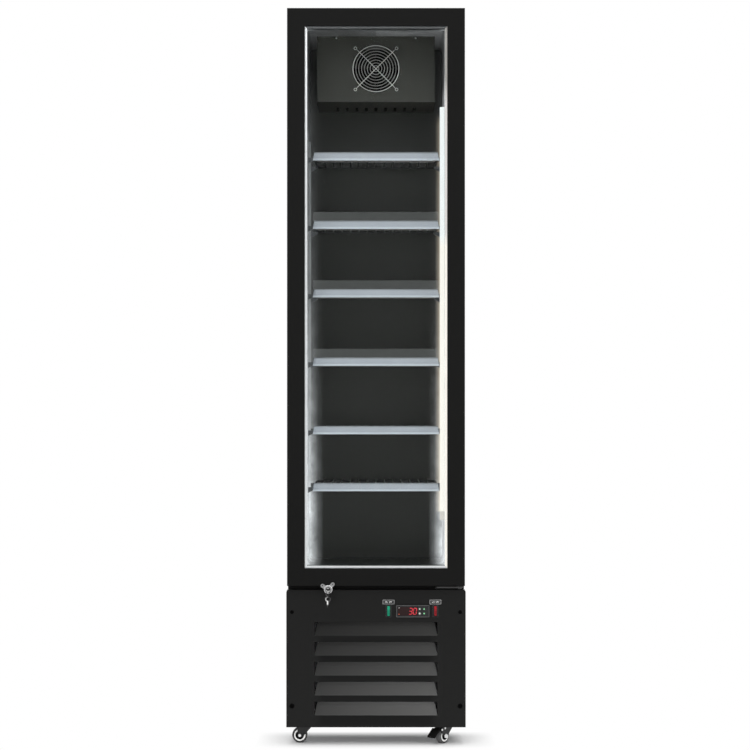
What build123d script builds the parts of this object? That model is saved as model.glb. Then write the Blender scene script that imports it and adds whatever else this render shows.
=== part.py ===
from build123d import *

import math
import os

os.makedirs("parts", exist_ok=True)

# All sizes are millimetres. X runs to the right, the door faces -Y and Z runs up from the floor.

# Heights, stacked from the floor up
CASTER_H = 52.0
MACHINE_BAY_H = 320.0
FLOOR_WALL = 60.0
LINER_H = 1348.0
ROOF_WALL = 35.0
DOOR_RISE = 5.0
DOOR_FOOT = 25.0
DOOR_GAP = 12.0

# Insulated box
CABINET_W = 438.0
CABINET_D = 375.0
SIDE_WALL = 44.0
BACK_WALL = 48.0
SHEET = 1.2
CORNER_R = 2.0
LINER_R = 12.0
LINER_LIP = 21.0
FACE_RAIL_H = 27.0
SIDE_DROP = 5.0

# Door
DOOR_T = 46.0
FRAME_W = 43.5
FRAME_LIP = 5.0
GLASS_BITE = 9.0
GLASS_T = 4.0
GLASS_GAP = 12.0
SPACER_SHOW = 5.5
SPACER_INSET = 3.0
SEAL_GAP = 10.0
SEAL_W = 14.0
SEAL_INSET = 16.0
EDGE_R = 2.0

# Hinges
HINGE_INSET = 14.0
HINGE_T = 4.0
HINGE_TONGUE_R = 10.0
HINGE_PIN_R = 5.0
HINGE_PIN_L = 14.0
HINGE_SEAT_D = 58.0
HINGE_LEAF_W = 66.0
HINGE_LEAF_REACH = 46.0
HINGE_LEAF_T = 3.0
HINGE_NOTCH_GAP = 2.0
HINGE_NUT = 1.5

# Lock, on the lower left of the door
LOCK_INSET = 101.5
LOCK_DROP = 8.0
LOCK_PLATE_T = 4.0
LOCK_PROUD = 7.0
LOCK_BEZEL_R = 10.5
LOCK_EAR_R = 4.5
LOCK_EAR_REACH = 17.0
LOCK_EAR_HOLE_R = 1.6
LOCK_EAR_SPREAD = 49.0
LOCK_LEAN = 8.0
LOCK_EDGE_R = 1.5
LOCK_BARREL_R = 7.5
LOCK_BARREL_L = 22.0
PLUG_R = 5.5
CAM_L = 21.0
CAM_W = 9.0
CAM_T = 3.0
CAM_SET = 30.0
CAM_CLEAR = 2.0
CAM_POCKET = 1.5
TAIL_R = 3.0
KEY_T = 2.0
KEY_REACH = 24.0
KEY_BOW_R = 7.0
KEY_BLADE_H = 5.6
KEY_HOLE_R = 2.2
SPARE_HOLE_R = 4.2
KEY_DEPTH = 12.0
KEY_SHOULDER = 1.0
KEY_BLADE_L = 14.0
KEY_CUTS = 3
KEY_CUT_PITCH = 3.4
KEY_CUT_R = 1.3
RING_R = 5.0
RING_WIRE_R = 0.9

# Base panel with its louvres
PANEL_OVERLAP = 3.0
PANEL_DROP = 7.0
PANEL_SETBACK = 26.0
PANEL_RETURN = 60.0
PANEL_FLANGE = 19.0
PANEL_CORNER = 5.0
LOUVRE_COUNT = 5
LOUVRE_MARGIN = 70.0
LOUVRE_BAR = 15.7
LOUVRE_LEAN = 16.0
LOUVRE_TAPER = 7.0
LOUVRE_ROUND = 9.0
LOUVRE_FOOT = 29.5
LOUVRE_HEAD = 64.0
PANEL_SCREW_EDGE = 14.0
PANEL_SCREW_TOP = 55.0
PANEL_SCREW_FOOT = 52.7

# Controls on the base panel
CONTROL_DROP = 52.5
CONTROLLER_EDGE = 131.0
CONTROLLER_W = 82.0
CONTROLLER_H = 29.5
CONTROLLER_PROUD = 4.0
CONTROLLER_BODY_W = 72.0
CONTROLLER_BODY_H = 25.0
CONTROLLER_BODY_D = 28.0
CONTROLLER_RECESS = 1.2
BUTTON_X = 22.5
BUTTON_PITCH = 11.0
BUTTON_SIZE = 7.0
BUTTON_R = 1.0
BUTTON_PROUD = 0.8
BUTTON_TRAVEL = 1.0
BUTTON_T = 3.0
LIGHT_SWITCH_SHIFT = 60.0
POWER_SWITCH_SHIFT = 56.0
SWITCH_W = 15.0
SWITCH_H = 30.0
SWITCH_RIM_T = 2.0
SWITCH_BODY_W = 12.5
SWITCH_BODY_H = 27.5
SWITCH_BODY_D = 22.0
ROCKER_W = 9.4
ROCKER_H = 24.0
ROCKER_T = 8.0
ROCKER_PROUD = 2.6
ROCKER_CROWN = 1.0
ROCKER_TILT = 7.0
ROCKER_PIN_R = 1.5

# Shelves on slotted standards
SLOT_PITCH = 28.5
LOWEST_SHELF = 214.5
SHELF_STEPS = (29, 23, 17, 11, 5, 0)
FENCED_SHELVES = (2, 3, 4)
SHELF_SIDE_GAP = 17.0
SHELF_BACK_GAP = 17.4
SHELF_SETBACK = 19.0
SHELF_WIRES = 13
FRAME_WIRE = 5.0
FRAME_BEND = 14.0
DECK_WIRE = 3.0
DECK_SINK = 4.0
WELD = 1.0
STRIP_H = 21.0
STRIP_T = 5.5
STRIP_LIP = 4.6
STRIP_BEAD = 2.6
STRIP_SINK = 1.8
STRIP_EDGE = 1.0
STRIP_END_SLANT = 3.5
FENCE_END = 1.0
FENCE_SEAT = 1.2
FENCE_H = 22.0
FENCE_T = 3.0
FENCE_R = 4.0
STANDARD_W = 16.0
STANDARD_T = 5.0
STANDARD_FRONT = 44.0
STANDARD_REAR = 72.0
STANDARD_SPARE = 2
SLOT_W = 4.0
SLOT_H = 10.0
CLIP_REACH = 18.0
CLIP_W = 12.0
CLIP_H = 14.0
CLIP_NOSE = 5.0
SHELF_LIFT = 18.0

# Lamp on the right wall
LAMP_FOOT = 124.0
LAMP_HEAD = 196.0
LAMP_BASE_T = 3.0
LAMP_LENS_T = 13.0
LAMP_W = 14.0
LAMP_SETBACK = 2.0

# Evaporator at the top of the liner
COVER_SIDE_GAP = 25.0
COVER_H = 167.0
COVER_SETBACK = 122.0
COVER_SCREW_EDGE = 49.0
COVER_SCREW_DROP = 9.0
FAN_DROP = 83.0
FAN_HOLE_R = 57.0
FAN_SCREW_PITCH = 105.0
FAN_BLADE_R = 53.0
FAN_HUB_R = 17.0
FAN_HUB_T = 16.0
FAN_BLADES = 5
FAN_PITCH_ANGLE = 28.0
FAN_SETBACK = 8.0
FAN_MOTOR_R = 21.0
FAN_MOTOR_L = 36.0
FAN_SHAFT_R = 3.0
FAN_STRAP_W = 14.0
FAN_STRAP_T = 2.0
GUARD_RINGS = 8
GUARD_RING_PITCH = 7.3
GUARD_OUTER_R = 58.5
GUARD_WIRE = 1.8
GUARD_WELD = 0.45
GUARD_STAND = 5.0
GUARD_KNEE = 6.0
GUARD_BEND = 2.5
GUARD_EYE_R = 3.4
EVAPORATOR_SIDE_GAP = 25.0
EVAPORATOR_D = 70.0
EVAPORATOR_H = 120.0
EVAPORATOR_FINS = 24
EVAPORATOR_ROWS = 4

# Machine bay
TRAY_T = 1.5
TRAY_EDGE = 22.0
POST_W = 26.0
CONDENSER_SIDE_GAP = 64.0
CONDENSER_HEAD_GAP = 80.0
CONDENSER_D = 46.0
CONDENSER_GAP = 34.0
CONDENSER_FINS = 32
CONDENSER_ROWS = 5
COIL_TUBE = 8.0
COIL_STUB = 8.0
END_PLATE_T = 2.0
FIN_T = 0.8
SHROUD_D = 26.0
SHROUD_HOLE_R = 92.0
COOLING_BLADE_R = 87.0
COOLING_HUB_R = 22.0
COOLING_HUB_T = 18.0
COOLING_BLADES = 5
COOLING_MOTOR_R = 32.0
COOLING_MOTOR_L = 42.0
COMPRESSOR_X = 70.0
COMPRESSOR_R = 72.0
COMPRESSOR_H = 185.0
COMPRESSOR_BACK = 110.0
COMPRESSOR_FOOT_H = 14.0
COMPRESSOR_FOOT_W = 190.0
COMPRESSOR_FOOT_D = 110.0
COMPRESSOR_SEAM = 5.0
LINE_R = 4.0
DRIER_R = 10.0
DRIER_L = 90.0
GRILLE_MARGIN = 57.0
GRILLE_SLOT_H = 7.0
GRILLE_ROWS = 11
GRILLE_PITCH = 22.0
GLAND_EDGE = 38.0
GLAND_FOOT = 44.0
GLAND_R = 9.0
GLAND_BORE_R = 4.2

# Casters
CASTER_EDGE = 44.0
CASTER_INSET = 46.0
CASTER_TRAIL = 15.0
WHEEL_R = 19.0
WHEEL_W = 15.0
WHEEL_WEB = 8.0
WHEEL_RIM_R = 13.5
WHEEL_HUB_R = 6.5
AXLE_R = 3.0
AXLE_HEAD_R = 5.0
LEG_T = 2.5
LEG_BACK = 11.0
LEG_FRONT = 32.0
RIVET_T = 2.0
LEG_GAP = 0.8
CROWN_Z = 40.0
CROWN_T = 3.5
RACE_R = 16.0
PLATE_W = 56.0
PLATE_D = 46.0
PLATE_T = 3.0
KINGPIN_R = 4.0
PEDAL_PIVOT = 30.0
PEDAL_Z = 36.2
PEDAL_L = 30.0
PEDAL_FALL = 17.0
PEDAL_T = 4.0
PEDAL_W = 24.0
PEDAL_HUB_R = 3.4
PEDAL_PIN_R = 1.6
CASTER_HEADINGS = {
    "front_left": 180.0,
    "front_right": 230.0,
    "rear_left": 150.0,
    "rear_right": 60.0,
}

# Fasteners
HEAD_R = 6.0
HEAD_T = 2.5
SMALL_HEAD_R = 3.6
SMALL_HEAD_T = 2.0
SCREW_HOLE_R = 2.6
SCREW_SHANK_R = 2.0

# Clearances
RUN_GAP = 0.3
FIT = 0.06
SLIP = 0.5
SNAP_GAP = 0.1

# Places that follow from the sizes above
BOX_BOTTOM = CASTER_H + MACHINE_BAY_H
LINER_FLOOR = BOX_BOTTOM + FLOOR_WALL
LINER_CEILING = LINER_FLOOR + LINER_H
CABINET_TOP = LINER_CEILING + ROOF_WALL
DOOR_TOP = CABINET_TOP + DOOR_RISE
DOOR_BOTTOM = BOX_BOTTOM + DOOR_FOOT
DOOR_H = DOOR_TOP - DOOR_BOTTOM
DOOR_MID = (DOOR_TOP + DOOR_BOTTOM) / 2
PANEL_TOP = DOOR_BOTTOM - DOOR_GAP
PANEL_BOTTOM = CASTER_H - PANEL_DROP
SIDE_BOTTOM = CASTER_H - SIDE_DROP
RAIL_BOTTOM = BOX_BOTTOM - FACE_RAIL_H

OVERALL_D = KEY_REACH + LOCK_PROUD + DOOR_T + SEAL_GAP + CABINET_D
BACK_Y = OVERALL_D / 2
FACE_Y = BACK_Y - CABINET_D
DOOR_BACK_Y = FACE_Y - SEAL_GAP
DOOR_FRONT_Y = DOOR_BACK_Y - DOOR_T
PANEL_Y = DOOR_FRONT_Y + PANEL_SETBACK
LOCK_FACE_Y = DOOR_FRONT_Y - LOCK_PROUD

HALF_W = CABINET_W / 2
INSIDE_X = HALF_W - SHEET
LINER_W = CABINET_W - 2 * SIDE_WALL
LINER_X = LINER_W / 2
LINER_D = CABINET_D - BACK_WALL
LINER_BACK_Y = FACE_Y + LINER_D
LINER_MID = LINER_FLOOR + LINER_H / 2
LIP_X = LINER_X + LINER_LIP
LIP_BOTTOM = LINER_FLOOR - LINER_LIP
LIP_TOP = LINER_CEILING + LINER_LIP

PANEL_W = CABINET_W + 2 * PANEL_OVERLAP
PANEL_X = PANEL_W / 2
PANEL_H = PANEL_TOP - PANEL_BOTTOM
LOUVRE_W = PANEL_W - 2 * LOUVRE_MARGIN
LOUVRE_PITCH = (PANEL_H - LOUVRE_FOOT - LOUVRE_HEAD) / LOUVRE_COUNT
LOUVRE_H = LOUVRE_PITCH - LOUVRE_BAR
PANEL_SCREW_X = PANEL_X - PANEL_SCREW_EDGE
CONTROLLER_X = PANEL_X - CONTROLLER_EDGE
SWITCH_LIGHT_X = CONTROLLER_X - LIGHT_SWITCH_SHIFT
SWITCH_POWER_X = CONTROLLER_X + POWER_SWITCH_SHIFT
LOCK_X = LOCK_INSET - HALF_W
CASTER_X = HALF_W - CASTER_EDGE
SHELF_W = LINER_W - 2 * SHELF_SIDE_GAP
SHELF_D = LINER_D - SHELF_SETBACK - STRIP_T - SNAP_GAP - SHELF_BACK_GAP
FENCE_W = SHELF_W - 2 * FENCE_END
LAMP_L = LINER_H - LAMP_FOOT - LAMP_HEAD
COVER_W = LINER_W - 2 * COVER_SIDE_GAP
COVER_D = LINER_D - COVER_SETBACK
COVER_SCREW_X = COVER_W / 2 - COVER_SCREW_EDGE
EVAPORATOR_W = COVER_W - 2 * EVAPORATOR_SIDE_GAP
CONDENSER_W = CABINET_W - 2 * CONDENSER_SIDE_GAP
CONDENSER_H = MACHINE_BAY_H - CONDENSER_HEAD_GAP
GRILLE_SLOT_W = (CABINET_W - GRILLE_PITCH) / 2 - GRILLE_MARGIN
GLAND_X = GLAND_EDGE - HALF_W


def block(x, y, z, mode=Mode.ADD):
    """A box between pairs of coordinates, added to or cut from the piece in hand."""
    with Locations(((x[0] + x[1]) / 2, (y[0] + y[1]) / 2, (z[0] + z[1]) / 2)):
        Box(x[1] - x[0], y[1] - y[0], z[1] - z[0], mode=mode)


def front_plane(y):
    """A plane seen from the front: its x runs right, its y runs up, and it grows towards the viewer."""
    return Plane(origin=(0, y, 0), x_dir=(1, 0, 0), z_dir=(0, -1, 0))


def side_plane(x):
    """A plane seen from the right: its x runs backwards, its y runs up, and it grows to the right."""
    return Plane(origin=(x, 0, 0), x_dir=(0, 1, 0), z_dir=(1, 0, 0))


def round_rod(path, radius):
    """A round rod or tube along a path, added to the piece in hand."""
    with BuildSketch(Plane(origin=path @ 0, z_dir=path % 0), mode=Mode.PRIVATE) as section:
        Circle(radius)
    sweep(section.sketch, path=path)


def wire_ring(centre, ring_r, wire_r):
    """A round wire bent into a ring that faces the front, added to the piece in hand."""
    with BuildSketch(Plane(origin=centre, x_dir=(1, 0, 0), z_dir=(0, 0, 1)), mode=Mode.PRIVATE) as section:
        with Locations((ring_r, 0)):
            Circle(wire_r)
    revolve(section.sketch, axis=Axis(centre, (0, 1, 0)))


def write_part(piece, name):
    piece.part.label = name
    export_step(piece.part, f"parts/{name}.step")


# Outer steel shell: sides to the floor of the machine bay, roof, back and the face rails round the door
with BuildPart() as cabinet_shell:
    with BuildSketch(Plane.XY.offset(SIDE_BOTTOM)) as shell_plan:
        with Locations((0, (FACE_Y + BACK_Y) / 2)):
            Rectangle(CABINET_W, CABINET_D)
        fillet(shell_plan.vertices(), CORNER_R)
    extrude(amount=CABINET_TOP - SIDE_BOTTOM)
    block(
        (-INSIDE_X, INSIDE_X),
        (FACE_Y + SHEET, BACK_Y - SHEET),
        (BOX_BOTTOM + SHEET, CABINET_TOP - SHEET),
        Mode.SUBTRACT,
    )
    block((-LIP_X, LIP_X), (FACE_Y, FACE_Y + SHEET), (LIP_BOTTOM, LIP_TOP), Mode.SUBTRACT)
    block((-INSIDE_X, INSIDE_X), (FACE_Y + SHEET, BACK_Y), (SIDE_BOTTOM, BOX_BOTTOM), Mode.SUBTRACT)
    block((-INSIDE_X, INSIDE_X), (FACE_Y, FACE_Y + SHEET), (SIDE_BOTTOM, RAIL_BOTTOM), Mode.SUBTRACT)
write_part(cabinet_shell, "cabinet_shell")

# Foam that fills the shell round the liner
with BuildPart() as insulation_foam:
    block(
        (-INSIDE_X, INSIDE_X),
        (FACE_Y + SHEET, BACK_Y - SHEET),
        (BOX_BOTTOM + SHEET, CABINET_TOP - SHEET),
    )
    with BuildSketch(front_plane(FACE_Y)):
        with Locations((0, LINER_MID)):
            RectangleRounded(LINER_W + 2 * SHEET, LINER_H + 2 * SHEET, LINER_R + SHEET)
    extrude(amount=-(LINER_D + SHEET), mode=Mode.SUBTRACT)
write_part(insulation_foam, "insulation_foam")

# Inner liner with the lip that meets the face rails
with BuildPart() as inner_liner:
    block((-LIP_X, LIP_X), (FACE_Y, FACE_Y + SHEET), (LIP_BOTTOM, LIP_TOP))
    with BuildSketch(front_plane(FACE_Y)):
        with Locations((0, LINER_MID)):
            RectangleRounded(LINER_W + 2 * SHEET, LINER_H + 2 * SHEET, LINER_R + SHEET)
    extrude(amount=-(LINER_D + SHEET))
    with BuildSketch(front_plane(FACE_Y)):
        with Locations((0, LINER_MID)):
            RectangleRounded(LINER_W, LINER_H, LINER_R)
    extrude(amount=-LINER_D, mode=Mode.SUBTRACT)
write_part(inner_liner, "inner_liner")

# Slotted standards on both side walls
SHELF_TOPS = [LINER_FLOOR + LOWEST_SHELF + step * SLOT_PITCH for step in SHELF_STEPS]
CLIP_DROP = DECK_SINK + DECK_WIRE + FRAME_WIRE - WELD + RUN_GAP
SLOT_COUNT = max(SHELF_STEPS) + 1 + 2 * STANDARD_SPARE
SLOT_DROP = CLIP_DROP + CLIP_H / 2
SLOT_MID = (SHELF_TOPS[0] + SHELF_TOPS[-1]) / 2 - SLOT_DROP
STANDARD_L = SLOT_COUNT * SLOT_PITCH
STANDARD_FACE_X = LINER_X - STANDARD_T
STANDARD_YS = (FACE_Y + STANDARD_FRONT, LINER_BACK_Y - STANDARD_REAR)

with BuildPart() as shelf_standards:
    for standard_y in STANDARD_YS:
        block(
            (STANDARD_FACE_X, LINER_X),
            (standard_y - STANDARD_W / 2, standard_y + STANDARD_W / 2),
            (SLOT_MID - STANDARD_L / 2, SLOT_MID + STANDARD_L / 2),
        )
        block(
            (STANDARD_FACE_X + SHEET, LINER_X),
            (standard_y - STANDARD_W / 2 + SHEET, standard_y + STANDARD_W / 2 - SHEET),
            (SLOT_MID - STANDARD_L / 2, SLOT_MID + STANDARD_L / 2),
            Mode.SUBTRACT,
        )
    with BuildSketch(side_plane(STANDARD_FACE_X)):
        for standard_y in STANDARD_YS:
            with Locations((standard_y, SLOT_MID)):
                with GridLocations(0, SLOT_PITCH, 1, SLOT_COUNT):
                    Rectangle(SLOT_W, SLOT_H)
    extrude(amount=SHEET, mode=Mode.SUBTRACT)
    mirror(about=Plane.YZ)
write_part(shelf_standards, "shelf_standards")

# Clips hooked into the standards, four to a shelf
with BuildPart() as shelf_clips:
    for shelf_top in SHELF_TOPS:
        clip_top = shelf_top - CLIP_DROP
        for standard_y in STANDARD_YS:
            with BuildSketch(front_plane(standard_y + CLIP_W / 2)):
                Polygon(
                    (STANDARD_FACE_X, clip_top),
                    (STANDARD_FACE_X - CLIP_REACH, clip_top),
                    (STANDARD_FACE_X - CLIP_REACH, clip_top - CLIP_NOSE),
                    (STANDARD_FACE_X, clip_top - CLIP_H),
                    align=None,
                )
            extrude(amount=CLIP_W)
            block(
                (STANDARD_FACE_X, STANDARD_FACE_X + 2 * SHEET),
                (standard_y - SLOT_W / 2 + RUN_GAP, standard_y + SLOT_W / 2 - RUN_GAP),
                (clip_top - CLIP_H / 2 - SLOT_H / 2 + RUN_GAP, clip_top - CLIP_H / 2 + SLOT_H / 2 - RUN_GAP),
            )
    mirror(about=Plane.YZ)
write_part(shelf_clips, "shelf_clips")

# Wire shelves with a snap-on price strip along the front
SHELF_FRONT_Y = FACE_Y + SHELF_SETBACK + STRIP_T + SNAP_GAP
SHELF_BACK_Y = SHELF_FRONT_Y + SHELF_D
STRIP_FRONT_Y = FACE_Y + SHELF_SETBACK
STRIP_BACK_Y = STRIP_FRONT_Y + STRIP_T
HALF_SHELF = SHELF_W / 2
WIRE_PITCH = (SHELF_W - FRAME_WIRE) / (SHELF_WIRES + 1)

SHELF_MID_Y = (SHELF_FRONT_Y + SHELF_BACK_Y) / 2
FRAME_DROP = DECK_WIRE - WELD
FRAME_R = FRAME_WIRE / 2
FRAME_X = HALF_SHELF - FRAME_R
with BuildPart() as shelf_wires:
    with BuildLine(Plane.XY.offset(-FRAME_DROP - FRAME_R), mode=Mode.PRIVATE) as frame_route:
        FilletPolyline(
            (-FRAME_X, SHELF_FRONT_Y + FRAME_R),
            (FRAME_X, SHELF_FRONT_Y + FRAME_R),
            (FRAME_X, SHELF_BACK_Y - FRAME_R),
            (-FRAME_X, SHELF_BACK_Y - FRAME_R),
            radius=FRAME_BEND,
            close=True,
        )
    round_rod(frame_route.wire(), FRAME_R)
    with BuildSketch(side_plane(-FRAME_X)):
        with Locations((SHELF_MID_Y, -FRAME_DROP - FRAME_R)):
            Circle(FRAME_R)
    extrude(amount=2 * FRAME_X)
    with BuildSketch(front_plane(SHELF_FRONT_Y)):
        with Locations((0, -DECK_WIRE / 2)):
            with GridLocations(WIRE_PITCH, 0, SHELF_WIRES, 1):
                Circle(DECK_WIRE / 2)
    extrude(amount=-SHELF_D)

for number, shelf_top in enumerate(SHELF_TOPS, start=1):
    deck_top = shelf_top - DECK_SINK
    with BuildPart() as shelf:
        with Locations((0, 0, deck_top)):
            add(shelf_wires.part)
        with BuildSketch(side_plane(-HALF_SHELF)):
            Polygon(
                (STRIP_FRONT_Y + STRIP_EDGE, shelf_top),
                (STRIP_BACK_Y, shelf_top),
                (STRIP_BACK_Y, deck_top - FRAME_DROP - FRAME_WIRE),
                (STRIP_BACK_Y - 2 * STRIP_EDGE, shelf_top - STRIP_H),
                (STRIP_FRONT_Y, shelf_top - STRIP_H),
                (STRIP_FRONT_Y, shelf_top - STRIP_H + STRIP_LIP),
                (STRIP_FRONT_Y + STRIP_SINK, shelf_top - STRIP_H + STRIP_LIP + STRIP_EDGE),
                (STRIP_FRONT_Y + STRIP_SINK, shelf_top - STRIP_BEAD),
                (STRIP_FRONT_Y + STRIP_EDGE, shelf_top - STRIP_BEAD + STRIP_EDGE / 2),
                align=None,
            )
        extrude(amount=SHELF_W)
        with BuildSketch(front_plane(STRIP_FRONT_Y)):
            with Locations((HALF_SHELF, shelf_top), (-HALF_SHELF, shelf_top)):
                Triangle(a=2 * STRIP_END_SLANT, B=60, C=60, align=(Align.CENTER, Align.MAX), rotation=180)
        extrude(amount=-STRIP_T, mode=Mode.SUBTRACT)
    write_part(shelf, f"shelf_{number}")
    if number in FENCED_SHELVES:
        with BuildPart() as shelf_fence:
            with BuildSketch(front_plane(STRIP_FRONT_Y + FENCE_SEAT)) as fence_outline:
                with Locations((0, shelf_top)):
                    Rectangle(FENCE_W, FENCE_H, align=(Align.CENTER, Align.MIN))
                fillet(fence_outline.vertices().group_by(Axis.Y)[-1], FENCE_R)
            extrude(amount=-FENCE_T)
        write_part(shelf_fence, f"shelf_fence_{number}")

# Strip lamp in the front corner of the right wall: metal base and diffuser
LAMP_Y = FACE_Y + LAMP_SETBACK + LAMP_W / 2
LAMP_BOTTOM = LINER_FLOOR + LAMP_FOOT
with BuildPart() as lamp_base:
    block(
        (LINER_X - LAMP_BASE_T, LINER_X),
        (LAMP_Y - LAMP_W / 2, LAMP_Y + LAMP_W / 2),
        (LAMP_BOTTOM, LAMP_BOTTOM + LAMP_L),
    )
    chamfer(lamp_base.edges().filter_by(Axis.Z).group_by(Axis.X)[0], SHEET)
write_part(lamp_base, "lamp_base")

with BuildPart() as lamp_lens:
    with BuildSketch(Plane.XY.offset(LAMP_BOTTOM)) as lens_section:
        with Locations((LINER_X - LAMP_BASE_T - LAMP_LENS_T / 2, LAMP_Y)):
            Rectangle(LAMP_LENS_T, LAMP_W - 2 * SHEET)
        fillet(lens_section.vertices().group_by(Axis.X)[0], LAMP_W / 3)
    extrude(amount=LAMP_L)
write_part(lamp_lens, "lamp_lens")

# Evaporator cover: a folded box, open to the ceiling and the back wall, with air slots underneath
COVER_Y = LINER_BACK_Y - COVER_D
COVER_BOTTOM = LINER_CEILING - COVER_H
COVER_X = COVER_W / 2
FAN_Z = LINER_CEILING - FAN_DROP
HALF_FAN_PITCH = FAN_SCREW_PITCH / 2

with BuildPart() as evaporator_cover:
    block((-COVER_X, COVER_X), (COVER_Y, LINER_BACK_Y), (COVER_BOTTOM, LINER_CEILING))
    block(
        (-COVER_X + SHEET, COVER_X - SHEET),
        (COVER_Y + SHEET, LINER_BACK_Y),
        (COVER_BOTTOM + SHEET, LINER_CEILING),
        Mode.SUBTRACT,
    )
    with BuildSketch(front_plane(COVER_Y)):
        with Locations((0, FAN_Z)):
            Circle(FAN_HOLE_R)
    extrude(amount=-SHEET, mode=Mode.SUBTRACT)
    with BuildSketch(Plane.XY.offset(COVER_BOTTOM)):
        with Locations((0, (COVER_Y + LINER_BACK_Y) / 2 + COVER_D / 5)):
            with GridLocations(COVER_W / 12, 0, 9, 1):
                SlotOverall(COVER_D / 3, COVER_W / 40, rotation=90)
    extrude(amount=SHEET, mode=Mode.SUBTRACT)
write_part(evaporator_cover, "evaporator_cover")


def finned_coil(x_span, y_span, z_span, fins, rows):
    """Upright fins between two end plates, on one tube that winds up through them in level rows."""
    height = z_span[1] - z_span[0]
    row_pitch = height / rows
    mid = ((x_span[0] + x_span[1]) / 2, (y_span[0] + y_span[1]) / 2, (z_span[0] + z_span[1]) / 2)
    bank_w = x_span[1] - x_span[0] - END_PLATE_T
    with Locations(mid):
        with GridLocations(bank_w, 1, 2, 1):
            Box(END_PLATE_T, y_span[1] - y_span[0], height)
        with GridLocations(bank_w / (fins + 1), 1, fins, 1):
            Box(FIN_T, y_span[1] - y_span[0], height)
    with BuildLine(front_plane(mid[1]), mode=Mode.PRIVATE) as route:
        start = (x_span[0] - COIL_STUB, z_span[0] + row_pitch / 2)
        for row in range(rows):
            level = z_span[0] + (row + 0.5) * row_pitch
            outward = 1 if row % 2 == 0 else -1
            last = row == rows - 1
            end_x = x_span[1] if outward > 0 else x_span[0]
            end = (end_x + outward * (COIL_STUB if last else 0), level)
            Line(start, end)
            if not last:
                start = (end_x, level + row_pitch)
                crest = (end_x + outward * row_pitch / 2, level + row_pitch / 2)
                ThreePointArc(end, crest, start)
    round_rod(route.wire(), COIL_TUBE / 2)


EVAPORATOR_FOOT = COVER_BOTTOM + SHEET
with BuildPart() as evaporator_coil:
    finned_coil(
        (-EVAPORATOR_W / 2, EVAPORATOR_W / 2),
        (LINER_BACK_Y - SHEET - EVAPORATOR_D, LINER_BACK_Y - SHEET),
        (EVAPORATOR_FOOT, EVAPORATOR_FOOT + EVAPORATOR_H),
        EVAPORATOR_FINS,
        EVAPORATOR_ROWS,
    )
write_part(evaporator_coil, "evaporator_coil")


def fan_rotor(hub_front, hub_t, hub_r, tip_r, shaft_r, blades, centre_z):
    """Blades set at an angle on a hub, trimmed to a round tip, bored for the motor shaft."""
    chord = 1.9 * hub_t
    with BuildPart() as rotor:
        blade_roots = PolarLocations(0, blades)
        with BuildSketch(front_plane(hub_front)):
            with Locations((0, centre_z)):
                Circle(hub_r)
        extrude(amount=-hub_t)
        for root in blade_roots.locations:
            turn = root.orientation.Z
            radial = Vector(math.cos(math.radians(turn)), 0, math.sin(math.radians(turn)))
            around = Vector(-radial.Z, 0, radial.X)
            slope = math.radians(FAN_PITCH_ANGLE)
            leading = around * math.cos(slope) + Vector(0, math.sin(slope), 0)
            origin = Vector(0, hub_front + hub_t / 2, centre_z)
            blade_plane = Plane(origin=origin, x_dir=radial, z_dir=radial.cross(leading))
            with BuildSketch(blade_plane) as blade_outline:
                with Locations(((hub_r + tip_r) / 2 - hub_r / 4, 0)):
                    Trapezoid(chord, tip_r - hub_r / 2, 78, rotation=90)
                fillet(blade_outline.vertices().group_by(SortBy.DISTANCE)[-1], chord / 5)
            extrude(amount=hub_t / 16, both=True)
        with BuildSketch(front_plane(hub_front - hub_t)):
            with Locations((0, centre_z)):
                Circle(2 * tip_r)
                Circle(tip_r, mode=Mode.SUBTRACT)
        extrude(amount=-3 * hub_t, mode=Mode.SUBTRACT)
        with BuildSketch(front_plane(hub_front + hub_t)):
            with Locations((0, centre_z)):
                Circle(shaft_r + FIT)
        extrude(amount=0.8 * hub_t, mode=Mode.SUBTRACT)
        fillet(rotor.edges().filter_by(GeomType.CIRCLE).group_by(Axis.Y)[0], hub_t / 8)
    return rotor


FAN_FRONT_Y = COVER_Y + FAN_SETBACK
FAN_MOTOR_Y = FAN_FRONT_Y + FAN_HUB_T + RUN_GAP
evaporator_fan_blade = fan_rotor(
    FAN_FRONT_Y, FAN_HUB_T, FAN_HUB_R, FAN_BLADE_R, FAN_SHAFT_R, FAN_BLADES, FAN_Z
)
write_part(evaporator_fan_blade, "evaporator_fan_blade")


def fan_motor(front_y, shaft_reach, body_r, body_l, shaft_r, strap_half, strap_seat_y, centre_z):
    """A motor can with its shaft, held by a cross strap whose ends reach forward to their seat."""
    with BuildPart() as motor:
        with BuildSketch(front_plane(front_y)):
            with Locations((0, centre_z)):
                Circle(body_r)
        extrude(amount=-body_l)
        chamfer(motor.edges().filter_by(GeomType.CIRCLE).group_by(Axis.Y)[-1], body_r / 8)
        with BuildSketch(front_plane(front_y)):
            with Locations((0, centre_z)):
                Circle(shaft_r)
        extrude(amount=shaft_reach)
        strap_y = front_y + body_l / 2
        block(
            (-strap_half, strap_half),
            (strap_y, strap_y + FAN_STRAP_T),
            (centre_z - FAN_STRAP_W / 2, centre_z + FAN_STRAP_W / 2),
        )
        for side in (-1, 1):
            end_x = sorted((side * strap_half, side * (strap_half - FAN_STRAP_T)))
            block(
                end_x,
                (strap_seat_y, strap_y + FAN_STRAP_T),
                (centre_z - FAN_STRAP_W / 2, centre_z + FAN_STRAP_W / 2),
            )
    return motor


evaporator_fan_motor = fan_motor(
    FAN_MOTOR_Y,
    0.7 * FAN_HUB_T,
    FAN_MOTOR_R,
    FAN_MOTOR_L,
    FAN_SHAFT_R,
    FAN_HOLE_R + FAN_STRAP_W,
    COVER_Y + SHEET,
    FAN_Z,
)
write_part(evaporator_fan_motor, "evaporator_fan_motor")

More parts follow.
